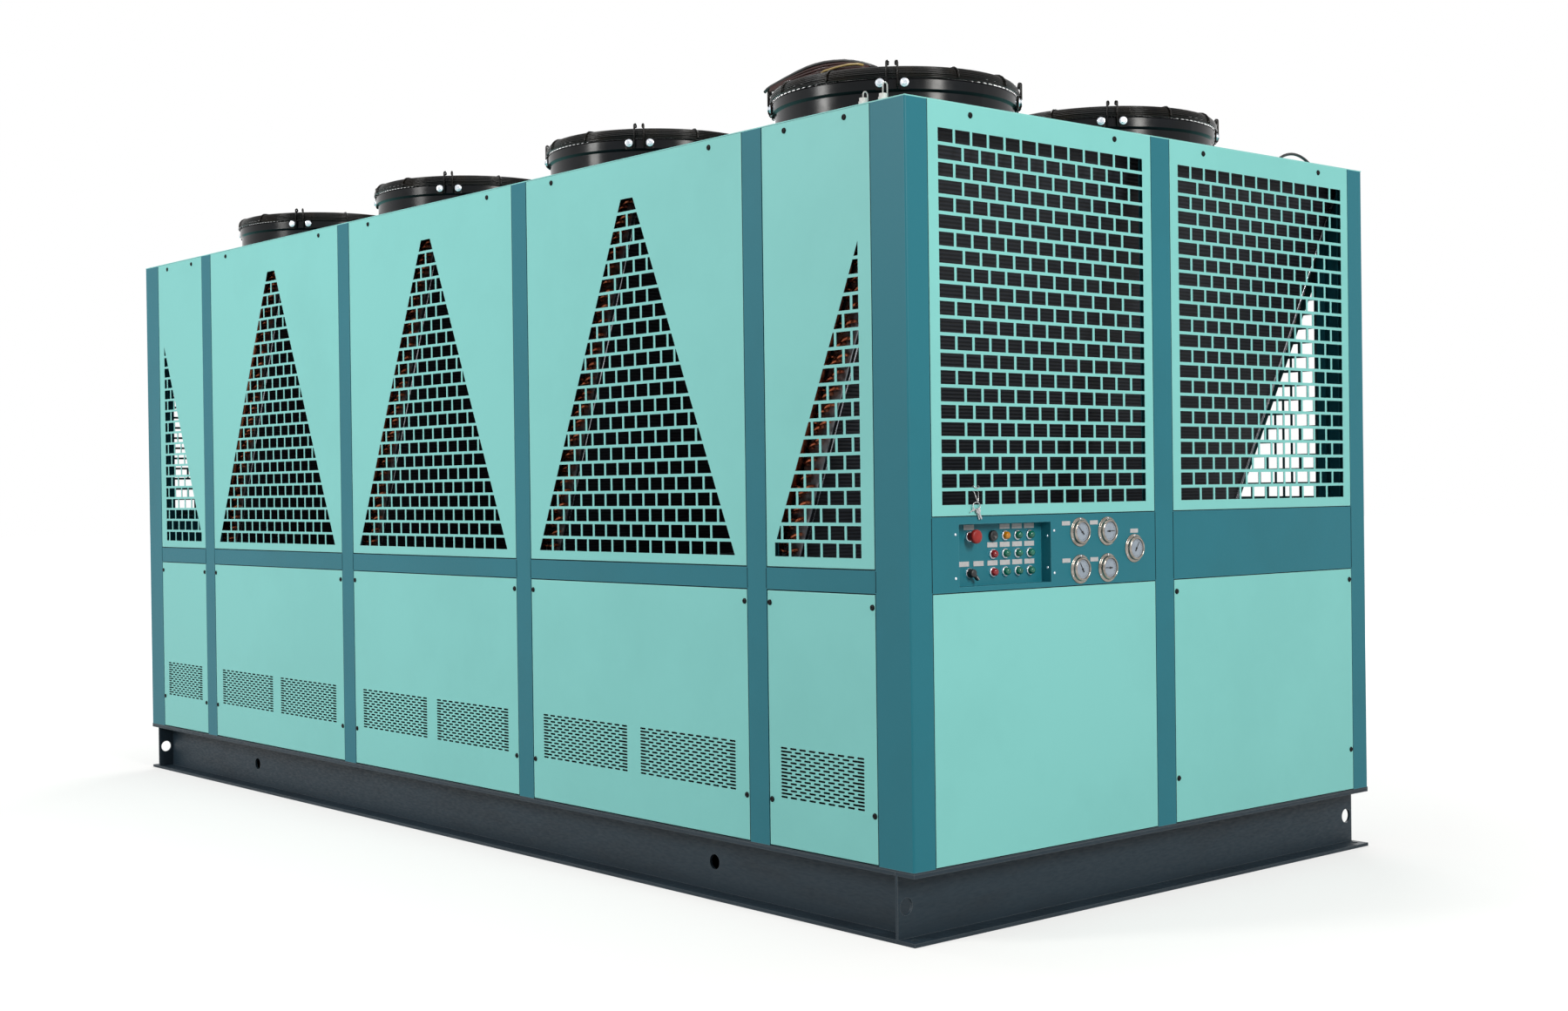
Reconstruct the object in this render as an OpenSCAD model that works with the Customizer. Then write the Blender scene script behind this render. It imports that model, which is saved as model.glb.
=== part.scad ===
// Air cooled water chiller: a sheet metal cabinet on a base of rolled channels, with four
// V shaped condenser banks behind pierced panels and eight axial fans on the roof.
// +X is the end with the controls, -Y is the front and +Z is up. The origin is on the
// ground, under the middle of the base. Sizes are in millimetres.

/* [Cabinet] */
// Overall length over the corner posts
body_l = 5080; // [4960:10:5300]
// Overall width over the corner posts
body_w = 2200; // [2120:10:2300]
// Height of the cabinet above the base deck
cabinet_h = 2130; // [2100:10:2200]
// Face of a corner post on the long sides
corner_long = 138; // [120:1:160]
// Face of a corner post on the ends
corner_end = 84; // [76:1:96]
// Face of the posts between bays
post_w = 88; // [76:1:100]
// Width of the narrow bay beside each corner
narrow_bay = 471; // [450:1:500]
// Height of the space for the lower panels
lower_h = 761; // [720:1:800]
// Height of the rails on the long sides
rail_h = 64; // [50:1:80]
// Height of the rails on the ends
end_rail_h = 211; // [205:1:230]

/* [Sheet metal] */
// Depth of the folded rim of panels and rails
rim_d = 22; // [18:1:28]
// Thickness of the panel sheet
sheet_t = 2; // [1.5:0.5:3]
// Thickness of the post sheet
post_t = 3; // [2:0.5:4]
// Width of the post flanges that carry the panels
lip_w = 30; // [20:1:36]
// Gap around each panel
panel_gap = 3; // [2:0.5:5]
// Gap at the ends of each rail
rail_gap = 0.5; // [0.3:0.1:1]
// Outer bend radius of the corner posts
bend_r = 6; // [4:1:8]
// Thickness of the roof sheet
roof_t = 3; // [2:0.5:5]
// Depth of the roof panels' folded edge
roof_fold = 40; // [30:1:44]
// Thickness of the deck that carries the coils
coil_deck_t = 5; // [4:0.5:8]
// Room for the controls between the end faces and the coil deck
coil_deck_room = 80; // [75:1:100]

/* [Grilles] */
// Height of the first row of holes above a panel's foot
grille_foot = 35; // [30:1:45]
// Spacing of the rows on the long sides
row_pitch = 50; // [46:1:54]
// Spacing of the holes along a row on the long sides
hole_pitch = 69; // [64:1:74]
// Width of the bars between holes on the long sides
bar_w = 12; // [10:1:14]
// Plain sheet above the triangles
tri_head = 130; // [110:1:160]
// Plain sheet beside the foot of a triangle
tri_margin = 78; // [70:1:90]
// Half width of the triangles at the tip
tri_tip = 33; // [30:1:40]
// Plain sheet on both sides of a half triangle
half_margin = 50; // [45:1:60]
// Width below which a corner of a row is joined to the next hole
corner_min = 9.5; // [8:0.5:12]
// Rows of holes in an end grille
end_rows = 22; // [20:2:24]
// Holes in an end grille's even rows
end_cols = 13; // [11:1:14]
// Plain sheet beside an end grille
end_margin = 44; // [40:1:50]
// Plain sheet above an end grille
end_head = 75; // [65:1:85]

/* [Base] */
// Height of the channels
channel_h = 200; // [180:10:220]
// Width of the channels' flanges
channel_b = 75; // [70:1:80]
// Thickness of the channels' web
web_t = 9; // [8:0.5:11]
// Thickness of the channels' flanges
flange_t = 11; // [10:0.5:13]
// Thickness of the deck on the channels
deck_t = 5; // [4:0.5:8]
// Diameter of the lifting holes
lift_d = 48; // [40:1:56]
// Distance between the lifting holes of a long side
lift_span = 3170; // [3000:10:3400]
// Diameter of the anchor holes
anchor_d = 22; // [18:1:26]
// Height of the cross members
cross_h = 160; // [120:5:170]

/* [Condenser] */
// Thickness of a coil, measured level
coil_t = 76; // [60:1:84]
// Distance from a fan's axis to the middle of a coil's foot
coil_foot = 62; // [55:1:70]
// Distance from a fan's axis to the middle of a coil's head
coil_head = 574; // [560:1:576]
// Thickness of the coils' end plates
tube_plate_t = 3; // [2:0.5:4]
// Room for the return bends outside the end plates
bend_room = 45; // [40:1:55]

/* [Fans] */
// Distance of the fan axes from the middle of the roof
fan_y = 505; // [480:1:520]
// Inner radius of a cowl
cowl_r = 377; // [360:1:385]
// Thickness of the cowl's sheet
cowl_t = 3; // [2:0.5:4]
// Height of a cowl above the roof
cowl_h = 148; // [140:1:160]
// Height of the cowl's wider band above the roof
band_z = 114; // [110:1:118]
// Width of the step from the barrel to the band
band_step = 8; // [5:1:10]
// Width of the cowl's foot flange
cowl_foot = 32; // [25:1:40]
// Gap between the blade tips and the cowl
tip_gap = 8; // [6:1:12]
// Radius of the impeller's hub
hub_r = 95; // [85:1:105]
// Height of the hub
hub_h = 80; // [70:1:86]
// Height of the hub's foot above the roof
hub_z = 22; // [18:1:28]
// Number of blades
blades = 5; // [4:1:7]
// Chord of a blade
blade_chord = 210; // [180:1:220]
// Thickness of a blade
blade_t = 5; // [4:0.5:6]
// Pitch of the blades in degrees
blade_pitch = 22; // [18:1:24]
// Radius of the motor
motor_r = 70; // [60:1:78]
// Height of the motor
motor_h = 64; // [55:1:68]
// Radius of the motor's shaft
shaft_r = 15; // [12:1:20]
// Running clearance of the shaft
shaft_gap = 0.3; // [0.2:0.1:0.5]
// Outer radius of a guard
guard_r = 413; // [405:1:425]
// Height of a guard's top above the roof
guard_top = 190; // [184:1:200]
// Section of the guard's bars
guard_bar = 7; // [5:0.5:8]
// Height of a guard's lower ring above the roof
guard_rim_z = 128; // [122:1:140]
// Angle from the middle of a pair of legs to the spokes on both sides
spoke_angle = 30; // [20:1:35]
// Angle from the middle of a pair of legs to each leg
leg_angle = 5.5; // [4:0.5:7]
// Height of the legs' feet above the roof
leg_z = 98; // [92:1:110]
// Width of a leg
leg_w = 20; // [16:1:24]
// Rings on a guard's flat top
guard_rings = 4; // [3:1:6]
// Radius of a guard's shoulder
guard_shoulder = 30; // [26:1:34]

/* [Cables] */
// Radius of a fan lead
lead_r = 5; // [4:0.5:6]
// Rise of the fan lead's arch above the guard
lead_rise = 66; // [55:1:75]
// Length of the lead's arch on the roof
roof_arch_l = 220; // [200:5:240]
// Rise of the arch on the roof
roof_arch_h = 65; // [55:1:75]
// Distance of the roof arch from the end of the roof
roof_arch_x = 140; // [120:5:160]
// Distance from the back edge of the roof to the middle of the arch
roof_arch_y = 190; // [180:5:220]
// Width of a cable gland over its nut
gland_d = 27; // [24:1:30]
// Height of a gland
gland_h = 18; // [15:1:22]
// Height of a gland's nut
nut_h = 8; // [6:1:10]
// Radius of a gland's wire
wire_r = 2.5; // [2:0.5:4]
// Bend radius of a gland's wire
wire_bend = 20; // [16:1:24]
// Distance of the glands from the front edge
gland_y = 15; // [14:1:20]
// Distance from the end to the outer gland
gland_x = 100; // [90:1:110]
// Spacing of the glands
gland_pitch = 80; // [70:1:90]

/* [Controls] */
// Width of the control recess
recess_w = 384; // [370:1:400]
// Height of the control recess
recess_h = 176; // [172:1:182]
// Depth of the control recess
recess_d = 38; // [32:1:46]
// Distance of the recess from the left edge of its bay
recess_x = 107; // [90:1:120]
// Height of the recess above the foot of the rail
recess_z = 14; // [13:1:18]
// Distance from the recess's left wall to the first column
control_x = 79; // [60:1:82]
// Distance from the first column to the lamps
lamp_x = 96; // [90:1:100]
// Spacing of the lamps
lamp_pitch = 52; // [48:1:54]
// Diameter of a lamp's bezel
lamp_d = 29; // [26:1:32]
// Diameter of the emergency stop's head
stop_d = 40; // [36:1:44]
// Travel of the emergency stop
stop_travel = 5; // [4:0.5:6]
// Diameter of a gauge's flange
gauge_d = 87; // [80:1:92]
// Spacing of the gauges across the rail
gauge_dx = 125; // [118:1:130]
// Spacing of the gauges up the rail
gauge_dz = 110; // [100:1:112]
// Distance of the first gauges from the left edge of their bay
gauge_x = 620; // [605:1:640]

/* [Hidden] */
$fn = 48;
eps = 1;
fit = 0.3;

aqua = [0.52, 0.82, 0.79];
teal = [0.22, 0.46, 0.52];
slate = [0.22, 0.24, 0.27];
black = [0.06, 0.06, 0.07];

// Heights of the cabinet's levels
deck_z = channel_h + deck_t;
top_z = deck_z + cabinet_h;
roof_z = top_z - roof_t;
rail_z = deck_z + lower_h;
upper_z = rail_z + rail_h;
end_upper_z = rail_z + end_rail_h;

// Bays along the sides and across the ends
full_bay = (body_l - 2 * corner_long - 2 * narrow_bay - 4 * post_w) / 3;
end_bay = (body_w - 2 * corner_end - post_w) / 2;
inner_post_x = (full_bay + post_w) / 2;
outer_post_x = 3 * inner_post_x;
side_post_x = [-outer_post_x, -inner_post_x, inner_post_x, outer_post_x];
side_bay_x = full_bay + post_w;
narrow_x = outer_post_x + (post_w + narrow_bay) / 2;
end_bay_x = (end_bay + post_w) / 2;
inside_d = rim_d + post_t;

// Pierced panels
side_upper_h = roof_z - upper_z;
end_upper_h = roof_z - end_upper_z;
tri_rows = floor((side_upper_h - grille_foot - tri_head + bar_w) / row_pitch);
hole_h = row_pitch - bar_w;
tri_top = grille_foot + tri_rows * row_pitch - bar_w;
tri_foot = full_bay / 2 - tri_margin;
tri_slope = (tri_foot - tri_tip) / (tri_top - grille_foot);
half_w = narrow_bay - 2 * half_margin;
half_rows = ceil((half_w / tri_slope - bar_w) / row_pitch);
end_field_w = end_bay - 2 * end_margin;
end_pitch = (end_field_w + bar_w) / end_cols;
end_row_pitch = (end_upper_h - grille_foot - end_head + bar_w) / end_rows;

// Fans, numbered along the front row and then along the back row
fan_places = [for (y = [-fan_y, fan_y], x = side_post_x) [x, y]];
shaft_z = hub_z + hub_h / 2;
motor_top = guard_top - guard_bar;
motor_z = motor_top - motor_h;
blade_r = cowl_r - tip_gap;
band_r = cowl_r + cowl_t + band_step;
flat_ring_r = guard_r - guard_shoulder - guard_bar;

// Condenser
coil_z0 = upper_z;
coil_z1 = roof_z - roof_fold - 5;
tube_plate_y = body_w / 2 - inside_d - bend_room;

// Controls on the left half of the right end, seen from outside
control_bay_x = -end_bay_x - end_bay / 2;
recess_cx = control_bay_x + recess_x + recess_w / 2;
recess_cz = rail_z + recess_z + recess_h / 2;
column_x = control_bay_x + recess_x + control_x;
lamp_cols = [for (i = [0 : 3]) column_x + lamp_x + i * lamp_pitch];
lamp_rows = [for (j = [-1 : 1]) recess_cz + j * lamp_pitch];
gauge_places = [for (i = [0, 1], j = [-1, 1])
    [control_bay_x + gauge_x + i * gauge_dx, recess_cz + j * gauge_dz / 2]];
last_gauge = [control_bay_x + gauge_x + 2 * gauge_dx, recess_cz];
lamp_body_r = lamp_d / 2 - 3.5;
gauge_case_r = gauge_d / 2 - 10;

// Turns a piece drawn with its face on y = 0 and its depth along +Y onto one of the sides
module on_front() { translate([0, -body_w / 2, 0]) children(); }
module on_back() { translate([0, body_w / 2, 0]) rotate(180) children(); }
module on_right() { translate([body_l / 2, 0, 0]) rotate(90) children(); }
module on_left() { translate([-body_l / 2, 0, 0]) rotate(-90) children(); }
// Stands a flat shape up, with its thickness along +Y
module upright(t) { translate([0, t, 0]) rotate([90, 0, 0]) linear_extrude(t) children(); }
// Copies a piece to both signs of X or Y
module both_x() { for (s = [0, 1]) mirror([s, 0, 0]) children(); }
module both_y() { for (s = [0, 1]) mirror([0, s, 0]) children(); }
// Places a piece on each fan's axis at the level of the roof
module at_fans() { for (p = fan_places) translate([p.x, p.y, top_z]) children(); }

// A rolled channel's section, with its back on x = 0 and its flanges along +X
module channel_section(h, b) {
    square([web_t, h]);
    for (z = [0, h - flange_t]) translate([0, z]) square([b, flange_t]);
}

// A channel along Y, with its back on x = 0 and its foot on the ground
module channel(l, h, b) {
    translate([0, l / 2, 0]) rotate([90, 0, 0]) linear_extrude(l) channel_section(h, b);
}

module base_long_channels() {
    l = body_l - 2 * channel_b;
    color(slate) both_y() translate([0, channel_b - body_w / 2, 0]) difference() {
        rotate(-90) channel(l, channel_h, channel_b);
        for (x = [-lift_span / 2, lift_span / 2]) translate([x, eps, channel_h / 2])
            rotate([90, 0, 0]) cylinder(d = lift_d, h = web_t + 2 * eps);
    }
}

module base_end_channels() {
    recess = (channel_b - web_t) / 2;
    color(slate) both_x() translate([body_l / 2 - channel_b, 0, 0]) difference() {
        channel(body_w, channel_h, channel_b);
        for (s = [-1, 1]) {
            translate([-eps, s * (body_w / 2 - recess), channel_h / 2]) rotate([0, 90, 0])
                cylinder(d = lift_d, h = web_t + 2 * eps);
            translate([channel_b - recess, s * (body_w / 2 - recess), -eps])
                cylinder(d = anchor_d, h = flange_t + 2 * eps);
        }
    }
}

module base_cross_members() {
    l = body_w - 2 * channel_b;
    color(slate) for (x = side_post_x) translate([x - channel_b / 2, 0, channel_h - cross_h])
        channel(l, cross_h, channel_b);
}

module base_deck() {
    color(slate) translate([-body_l / 2, -body_w / 2, channel_h]) cube([body_l, body_w, deck_t]);
}

// A post folded to a hat: a face, two walls and two flanges behind the panels
module hat_section(w) {
    translate([-w / 2, 0]) square([w, post_t]);
    for (s = [0, 1]) mirror([s, 0]) {
        translate([w / 2 - post_t, 0]) square([post_t, inside_d]);
        translate([w / 2 - post_t, rim_d]) square([lip_w + post_t, post_t]);
    }
}

module hat_post(w) { translate([0, 0, deck_z]) linear_extrude(roof_z - deck_z) hat_section(w); }

// One leg of a corner post, drawn along +X from the corner, with its wall and its flange
module corner_leg(w) {
    square([w, post_t]);
    translate([w - post_t, 0]) square([post_t, inside_d]);
    translate([w - post_t, rim_d]) square([lip_w + post_t, post_t]);
}

module corner_section() {
    difference() {
        union() {
            corner_leg(corner_long);
            mirror([1, -1]) corner_leg(corner_end);
        }
        difference() {
            translate([-eps, -eps]) square(bend_r + eps);
            translate([bend_r, bend_r]) circle(bend_r);
        }
    }
}

module corner_posts() {
    color(teal) both_x() both_y() translate([-body_l / 2, -body_w / 2, deck_z])
        linear_extrude(roof_z - deck_z) corner_section();
}

module side_posts() {
    color(teal) for (x = side_post_x) {
        on_front() translate([x, 0, 0]) hat_post(post_w);
        on_back() translate([x, 0, 0]) hat_post(post_w);
    }
}

module end_posts() {
    color(teal) {
        on_left() hat_post(post_w);
        on_right() hat_post(post_w);
    }
}

// The folded rim of a panel, with the panel's foot on z = 0
module rim(w, h) {
    difference() {
        translate([-w / 2, 0, 0]) cube([w, rim_d, h]);
        translate([sheet_t - w / 2, -eps, sheet_t])
            cube([w - 2 * sheet_t, rim_d + 2 * eps, h - 2 * sheet_t]);
    }
}

// A plain panel or rail: a sheet with its four edges folded back
module tray(w, h) {
    difference() {
        translate([-w / 2, 0, 0]) cube([w, rim_d, h]);
        translate([sheet_t - w / 2, sheet_t, sheet_t])
            cube([w - 2 * sheet_t, rim_d, h - 2 * sheet_t]);
    }
}

module rail(bay, h) { translate([0, 0, rail_z]) tray(bay - 2 * rail_gap, h); }

module side_rails() {
    color(teal) for (x = [-narrow_x, narrow_x]) {
        on_front() translate([x, 0, 0]) rail(narrow_bay, rail_h);
        on_back() translate([x, 0, 0]) rail(narrow_bay, rail_h);
    }
    color(teal) for (x = [-side_bay_x, 0, side_bay_x]) {
        on_front() translate([x, 0, 0]) rail(full_bay, rail_h);
        on_back() translate([x, 0, 0]) rail(full_bay, rail_h);
    }
}

module end_rails() {
    color(teal) {
        for (x = [-end_bay_x, end_bay_x]) on_left() translate([x, 0, 0]) rail(end_bay, end_rail_h);
        on_right() translate([end_bay_x, 0, 0]) rail(end_bay, end_rail_h);
    }
}

// The rail with the control recess and the gauges cut through it
module control_rail() {
    color(teal) on_right() difference() {
        translate([-end_bay_x, 0, 0]) rail(end_bay, end_rail_h);
        translate([recess_cx - recess_w / 2, -eps, recess_cz - recess_h / 2])
            cube([recess_w, sheet_t + 2 * eps, recess_h]);
        for (p = concat(gauge_places, [last_gauge])) translate([p.x, sheet_t + eps, p.y])
            rotate([90, 0, 0]) cylinder(r = gauge_case_r + fit, h = sheet_t + 2 * eps);
    }
}

// The box behind the recess, with a flange that seats on the back of the rail
module control_box() {
    flange = 8;
    w = recess_w + 2 * sheet_t;
    h = recess_h + 2 * sheet_t;
    color(teal) on_right() translate([recess_cx, sheet_t, recess_cz]) difference() {
        union() {
            translate([-w / 2, 0, -h / 2]) cube([w, recess_d, h]);
            translate([-w / 2 - flange, 0, -h / 2 - flange])
                cube([w + 2 * flange, sheet_t, h + 2 * flange]);
        }
        translate([-recess_w / 2, -eps, -recess_h / 2])
            cube([recess_w, recess_d - sheet_t + eps, recess_h]);
        translate([-recess_cx, recess_d + eps, -recess_cz]) rotate([90, 0, 0]) {
            for (x = lamp_cols, z = lamp_rows) translate([x, z, 0])
                cylinder(r = lamp_body_r + fit, h = sheet_t + 2 * eps);
            for (z = [lamp_rows[0], lamp_rows[2]]) translate([column_x, z, 0])
                cylinder(r = lamp_body_r + fit, h = sheet_t + 2 * eps);
        }
    }
}

// A plain panel in a bay of the lower row
module lower_panel(bay) {
    translate([0, 0, deck_z + panel_gap]) tray(bay - 2 * panel_gap, lower_h - 2 * panel_gap);
}

module side_lower_panels() {
    for (x = [-narrow_x, narrow_x]) translate([x, 0, 0]) lower_panel(narrow_bay);
    for (x = [-side_bay_x, 0, side_bay_x]) translate([x, 0, 0]) lower_panel(full_bay);
}

module front_lower_panels() { color(aqua) on_front() side_lower_panels(); }
module back_lower_panels() { color(aqua) on_back() side_lower_panels(); }

module end_lower_panels() {
    color(aqua) for (x = [-end_bay_x, end_bay_x]) {
        on_left() translate([x, 0, 0]) lower_panel(end_bay);
        on_right() translate([x, 0, 0]) lower_panel(end_bay);
    }
}

// Half width of a triangle at height z above the panel's foot
function tri_half(z) = tri_tip + (tri_top - z) * tri_slope;

// One hole of a row from x = a to x = b, cut off by sloping sides that reach
// lo and hi at the hole's foot and lean in by tri_slope
module cut_hole(a, b, lo, hi, z) {
    lean = hole_h * tri_slope;
    right = b >= hi ? [[hi, 0]] : [[b, 0], [b, side_h(b, lo, hi)]];
    right_tip = hi - b < lean && hi - a > lean ? [[hi - lean, hole_h]] : [];
    left_tip = a - lo < lean && b - lo > lean ? [[lo + lean, hole_h]] : [];
    left = a <= lo ? [[lo, 0]] : [[a, side_h(a, lo, hi)], [a, 0]];
    translate([0, z]) polygon(concat(right, right_tip, left_tip, left));
}

// Height of a hole's upright side at x, below both slopes
function side_h(x, lo, hi) = min(hole_h, (x - lo) / tri_slope, (hi - x) / tri_slope);

// The triangle of brick bonded holes in a full bay
module triangle_holes() {
    for (row = [0 : tri_rows - 1]) {
        z = grille_foot + row * row_pitch;
        reach = tri_half(z);
        shift = (tri_rows - 1 - row) % 2 == 0 ? 0.5 : 0;
        n = floor((reach - corner_min - bar_w / 2) / hole_pitch - shift);
        bars = [for (i = [-n - 2 * shift : 1 : n]) (i + shift) * hole_pitch];
        starts = concat([-reach], [for (x = bars) x + bar_w / 2]);
        stops = concat([for (x = bars) x - bar_w / 2], [reach]);
        for (i = [0 : len(starts) - 1]) cut_hole(starts[i], stops[i], -reach, reach, z);
    }
}

// Half of such a triangle in a narrow bay, with its upright side on x = 0 and its slope on -X
module half_triangle_holes() {
    wide = hole_pitch - bar_w;
    for (row = [0 : half_rows - 1]) {
        z = grille_foot + row * row_pitch;
        reach = half_w - row * row_pitch * tri_slope;
        first = row % 2 == 0 ? wide - hole_pitch / 2 : wide;
        n = floor((reach - corner_min - first - bar_w) / hole_pitch);
        bars = [for (i = [n : -1 : 0]) -first - bar_w / 2 - i * hole_pitch];
        starts = concat([-reach], [for (x = bars) x + bar_w / 2]);
        stops = concat([for (x = bars) x - bar_w / 2], [0]);
        for (i = [0 : len(starts) - 1]) cut_hole(starts[i], stops[i], -reach, half_w, z);
    }
}

// Brick bonded holes over the whole of an end panel, with wide holes at the ends of every other row
module end_holes() {
    hole = end_pitch - bar_w;
    for (row = [0 : end_rows - 1]) {
        wide = row % 2 == 0;
        count = wide ? end_cols - 1 : end_cols;
        for (i = [0 : count - 1]) {
            a = wide && i > 0 ? i * end_pitch + end_pitch / 2 : i * end_pitch;
            b = wide && i < count - 1 ? (i + 1) * end_pitch + hole / 2 - bar_w / 2
                : wide ? end_field_w : i * end_pitch + hole;
            translate([a - end_field_w / 2, grille_foot + row * end_row_pitch])
                square([b - a, end_row_pitch - bar_w]);
        }
    }
}

// An upper panel, pierced by the holes given as its child, drawn from the panel's foot
module upper_panel(bay, foot_z) {
    w = bay - 2 * panel_gap;
    h = roof_z - foot_z - panel_gap;
    translate([0, 0, foot_z + panel_gap]) {
        rim(w, h);
        upright(sheet_t) difference() {
            translate([-w / 2, 0]) square([w, h]);
            translate([0, -panel_gap]) children();
        }
    }
}

module side_grille() { color(aqua) upper_panel(full_bay, upper_z) triangle_holes(); }

module half_grilles() {
    color(aqua) both_x() translate([narrow_x, 0, 0]) upper_panel(narrow_bay, upper_z)
        translate([half_w / 2, 0]) half_triangle_holes();
}

module end_grille() { color(aqua) upper_panel(end_bay, end_upper_z) end_holes(); }

module front_grille_left() { on_front() translate([-side_bay_x, 0, 0]) side_grille(); }
module front_grille_middle() { on_front() side_grille(); }
module front_grille_right() { on_front() translate([side_bay_x, 0, 0]) side_grille(); }
module front_half_grilles() { on_front() half_grilles(); }
module back_grille_left() { on_back() translate([side_bay_x, 0, 0]) side_grille(); }
module back_grille_middle() { on_back() side_grille(); }
module back_grille_right() { on_back() translate([-side_bay_x, 0, 0]) side_grille(); }
module back_half_grilles() { on_back() half_grilles(); }
module left_end_grille_front() { on_left() translate([end_bay_x, 0, 0]) end_grille(); }
module left_end_grille_back() { on_left() translate([-end_bay_x, 0, 0]) end_grille(); }
module right_end_grille_front() { on_right() translate([-end_bay_x, 0, 0]) end_grille(); }
module right_end_grille_back() { on_right() translate([end_bay_x, 0, 0]) end_grille(); }

// A roof panel from x0 to x1 over one V, with folded edges where the panels meet
module roof_panel(x0, x1, fan_x) {
    fold_w = body_w - 2 * inside_d - 2 * lip_w;
    difference() {
        union() {
            translate([x0 + fit, -body_w / 2, roof_z]) cube([x1 - x0 - 2 * fit, body_w, roof_t]);
            for (x = [x0 + fit, x1 - fit - roof_t]) if (abs(x) < outer_post_x)
                translate([x, -fold_w / 2, roof_z - roof_fold]) cube([roof_t, fold_w, roof_fold]);
        }
        for (y = [-fan_y, fan_y]) translate([fan_x, y, roof_z - eps])
            cylinder(r = cowl_r, h = roof_t + 2 * eps);
    }
}

module roof_panels() {
    color(aqua) both_x() {
        roof_panel(0, side_bay_x, inner_post_x);
        roof_panel(side_bay_x, body_l / 2 + fit, outer_post_x);
    }
}

module coil_deck() {
    l = body_l - 2 * coil_deck_room;
    w = body_w - 2 * inside_d;
    color(slate) translate([-l / 2, -w / 2, coil_z0 - coil_deck_t]) cube([l, w, coil_deck_t]);
}

// A coil's section on one side of a V, made larger by grow on each side
module coil_section(grow) {
    half = coil_t / 2 + grow;
    polygon([[coil_foot - half, coil_z0], [coil_foot + half, coil_z0],
        [coil_head + half, coil_z1 + grow], [coil_head - half, coil_z1 + grow]]);
}

module at_coils() { for (x = side_post_x) translate([x, 0, 0]) both_x() children(); }

module condenser_coils() {
    l = 2 * (tube_plate_y - tube_plate_t);
    color(black) at_coils() translate([0, -l / 2, 0]) upright(l) coil_section(0);
}

module coil_end_plates() {
    grow = 3;
    color("silver") at_coils() both_y() translate([0, -tube_plate_y, 0])
        upright(tube_plate_t) coil_section(grow);
}

// A cowl is a drawn ring with a foot flange, a straight barrel, a wider band and a rolled rim
module fan_cowls() {
    roll = 6;
    straight = cowl_h - roll;
    color(black) at_fans() rotate_extrude() {
        polygon([[cowl_r, 0], [cowl_r + cowl_foot, 0], [cowl_r + cowl_foot, cowl_t],
            [cowl_r + cowl_t, cowl_t], [cowl_r + cowl_t, band_z - band_step],
            [band_r, band_z], [band_r, straight], [band_r - cowl_t, straight],
            [band_r - cowl_t, band_z], [cowl_r, band_z - band_step]]);
        translate([band_r - roll, straight]) circle(roll);
    }
}

// A guard of rings on bent bars, with four pairs of legs that hang on the cowl
module fan_guards() { color(black) at_fans() guard(); }

module guard() {
    top = guard_top - guard_bar;
    ring_gap = (flat_ring_r - motor_r - guard_bar) / guard_rings;
    leg_r = band_r + fit;
    translate([0, 0, top]) cylinder(r = motor_r + guard_bar, h = guard_bar);
    for (i = [1 : guard_rings]) translate([0, 0, top])
        ring(motor_r + guard_bar + i * ring_gap);
    translate([0, 0, guard_rim_z]) ring(guard_r);
    for (i = [0 : 3], s = [-1, 1]) rotate(i * 90 + 45) {
        rotate(s * spoke_angle) guard_spoke();
        rotate(s * leg_angle) translate([leg_r, -leg_w / 2, 0]) {
            translate([0, 0, leg_z]) cube([guard_bar, leg_w, guard_rim_z + guard_bar - leg_z]);
            translate([0, 0, guard_rim_z]) cube([guard_r - leg_r - 1, leg_w, guard_bar]);
        }
    }
}

// A bar along +X that leaves the middle plate under the rings and bends down to the rim
module guard_spoke() {
    sunk = 2;
    rotate([90, 0, 0]) translate([0, 0, -guard_bar / 2]) linear_extrude(guard_bar) difference() {
        guard_outline(sunk);
        guard_outline(sunk + guard_bar);
        square([motor_r + sunk, guard_top]);
    }
}

// Half the section of the space under a guard, with its top and wall moved in
module guard_outline(inset) {
    flat_r = guard_r - guard_shoulder;
    foot = guard_rim_z + guard_bar / 2;
    translate([0, foot]) {
        square([guard_r - inset, guard_top - guard_shoulder - foot]);
        square([flat_r, guard_top - inset - foot]);
    }
    translate([flat_r, guard_top - guard_shoulder]) circle(guard_shoulder - inset);
}

// A ring of the guard's bar with the outer radius r
module ring(r) { rotate_extrude() translate([r - guard_bar, 0]) square(guard_bar); }

// A motor hangs under the guard's middle plate and ends in the shaft
module fan_motors() {
    color(black) at_fans() {
        translate([0, 0, motor_z]) cylinder(r = motor_r, h = motor_h);
        translate([0, 0, shaft_z]) cylinder(r = shaft_r, h = motor_z - shaft_z + eps);
    }
}

// A blade's outline along +X: a swept sickle between the hub and the tip
module blade_outline() {
    reach = blade_r + 20;
    sweep_r = 1.2 * blade_r;
    difference() {
        translate([hub_r / 2, -blade_chord / 2]) square([reach - hub_r / 2, blade_chord]);
        translate([0.62 * blade_r, blade_chord / 2 + sweep_r - 24]) circle(sweep_r);
        translate([hub_r / 2, -blade_chord / 2 - 1]) rotate(-6) translate([0, -60]) square([reach, 60]);
    }
}

module blade() {
    translate([0, 0, hub_h / 2]) rotate([blade_pitch, 0, 0]) translate([0, 0, -blade_t / 2])
        linear_extrude(blade_t) blade_outline();
}

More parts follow.
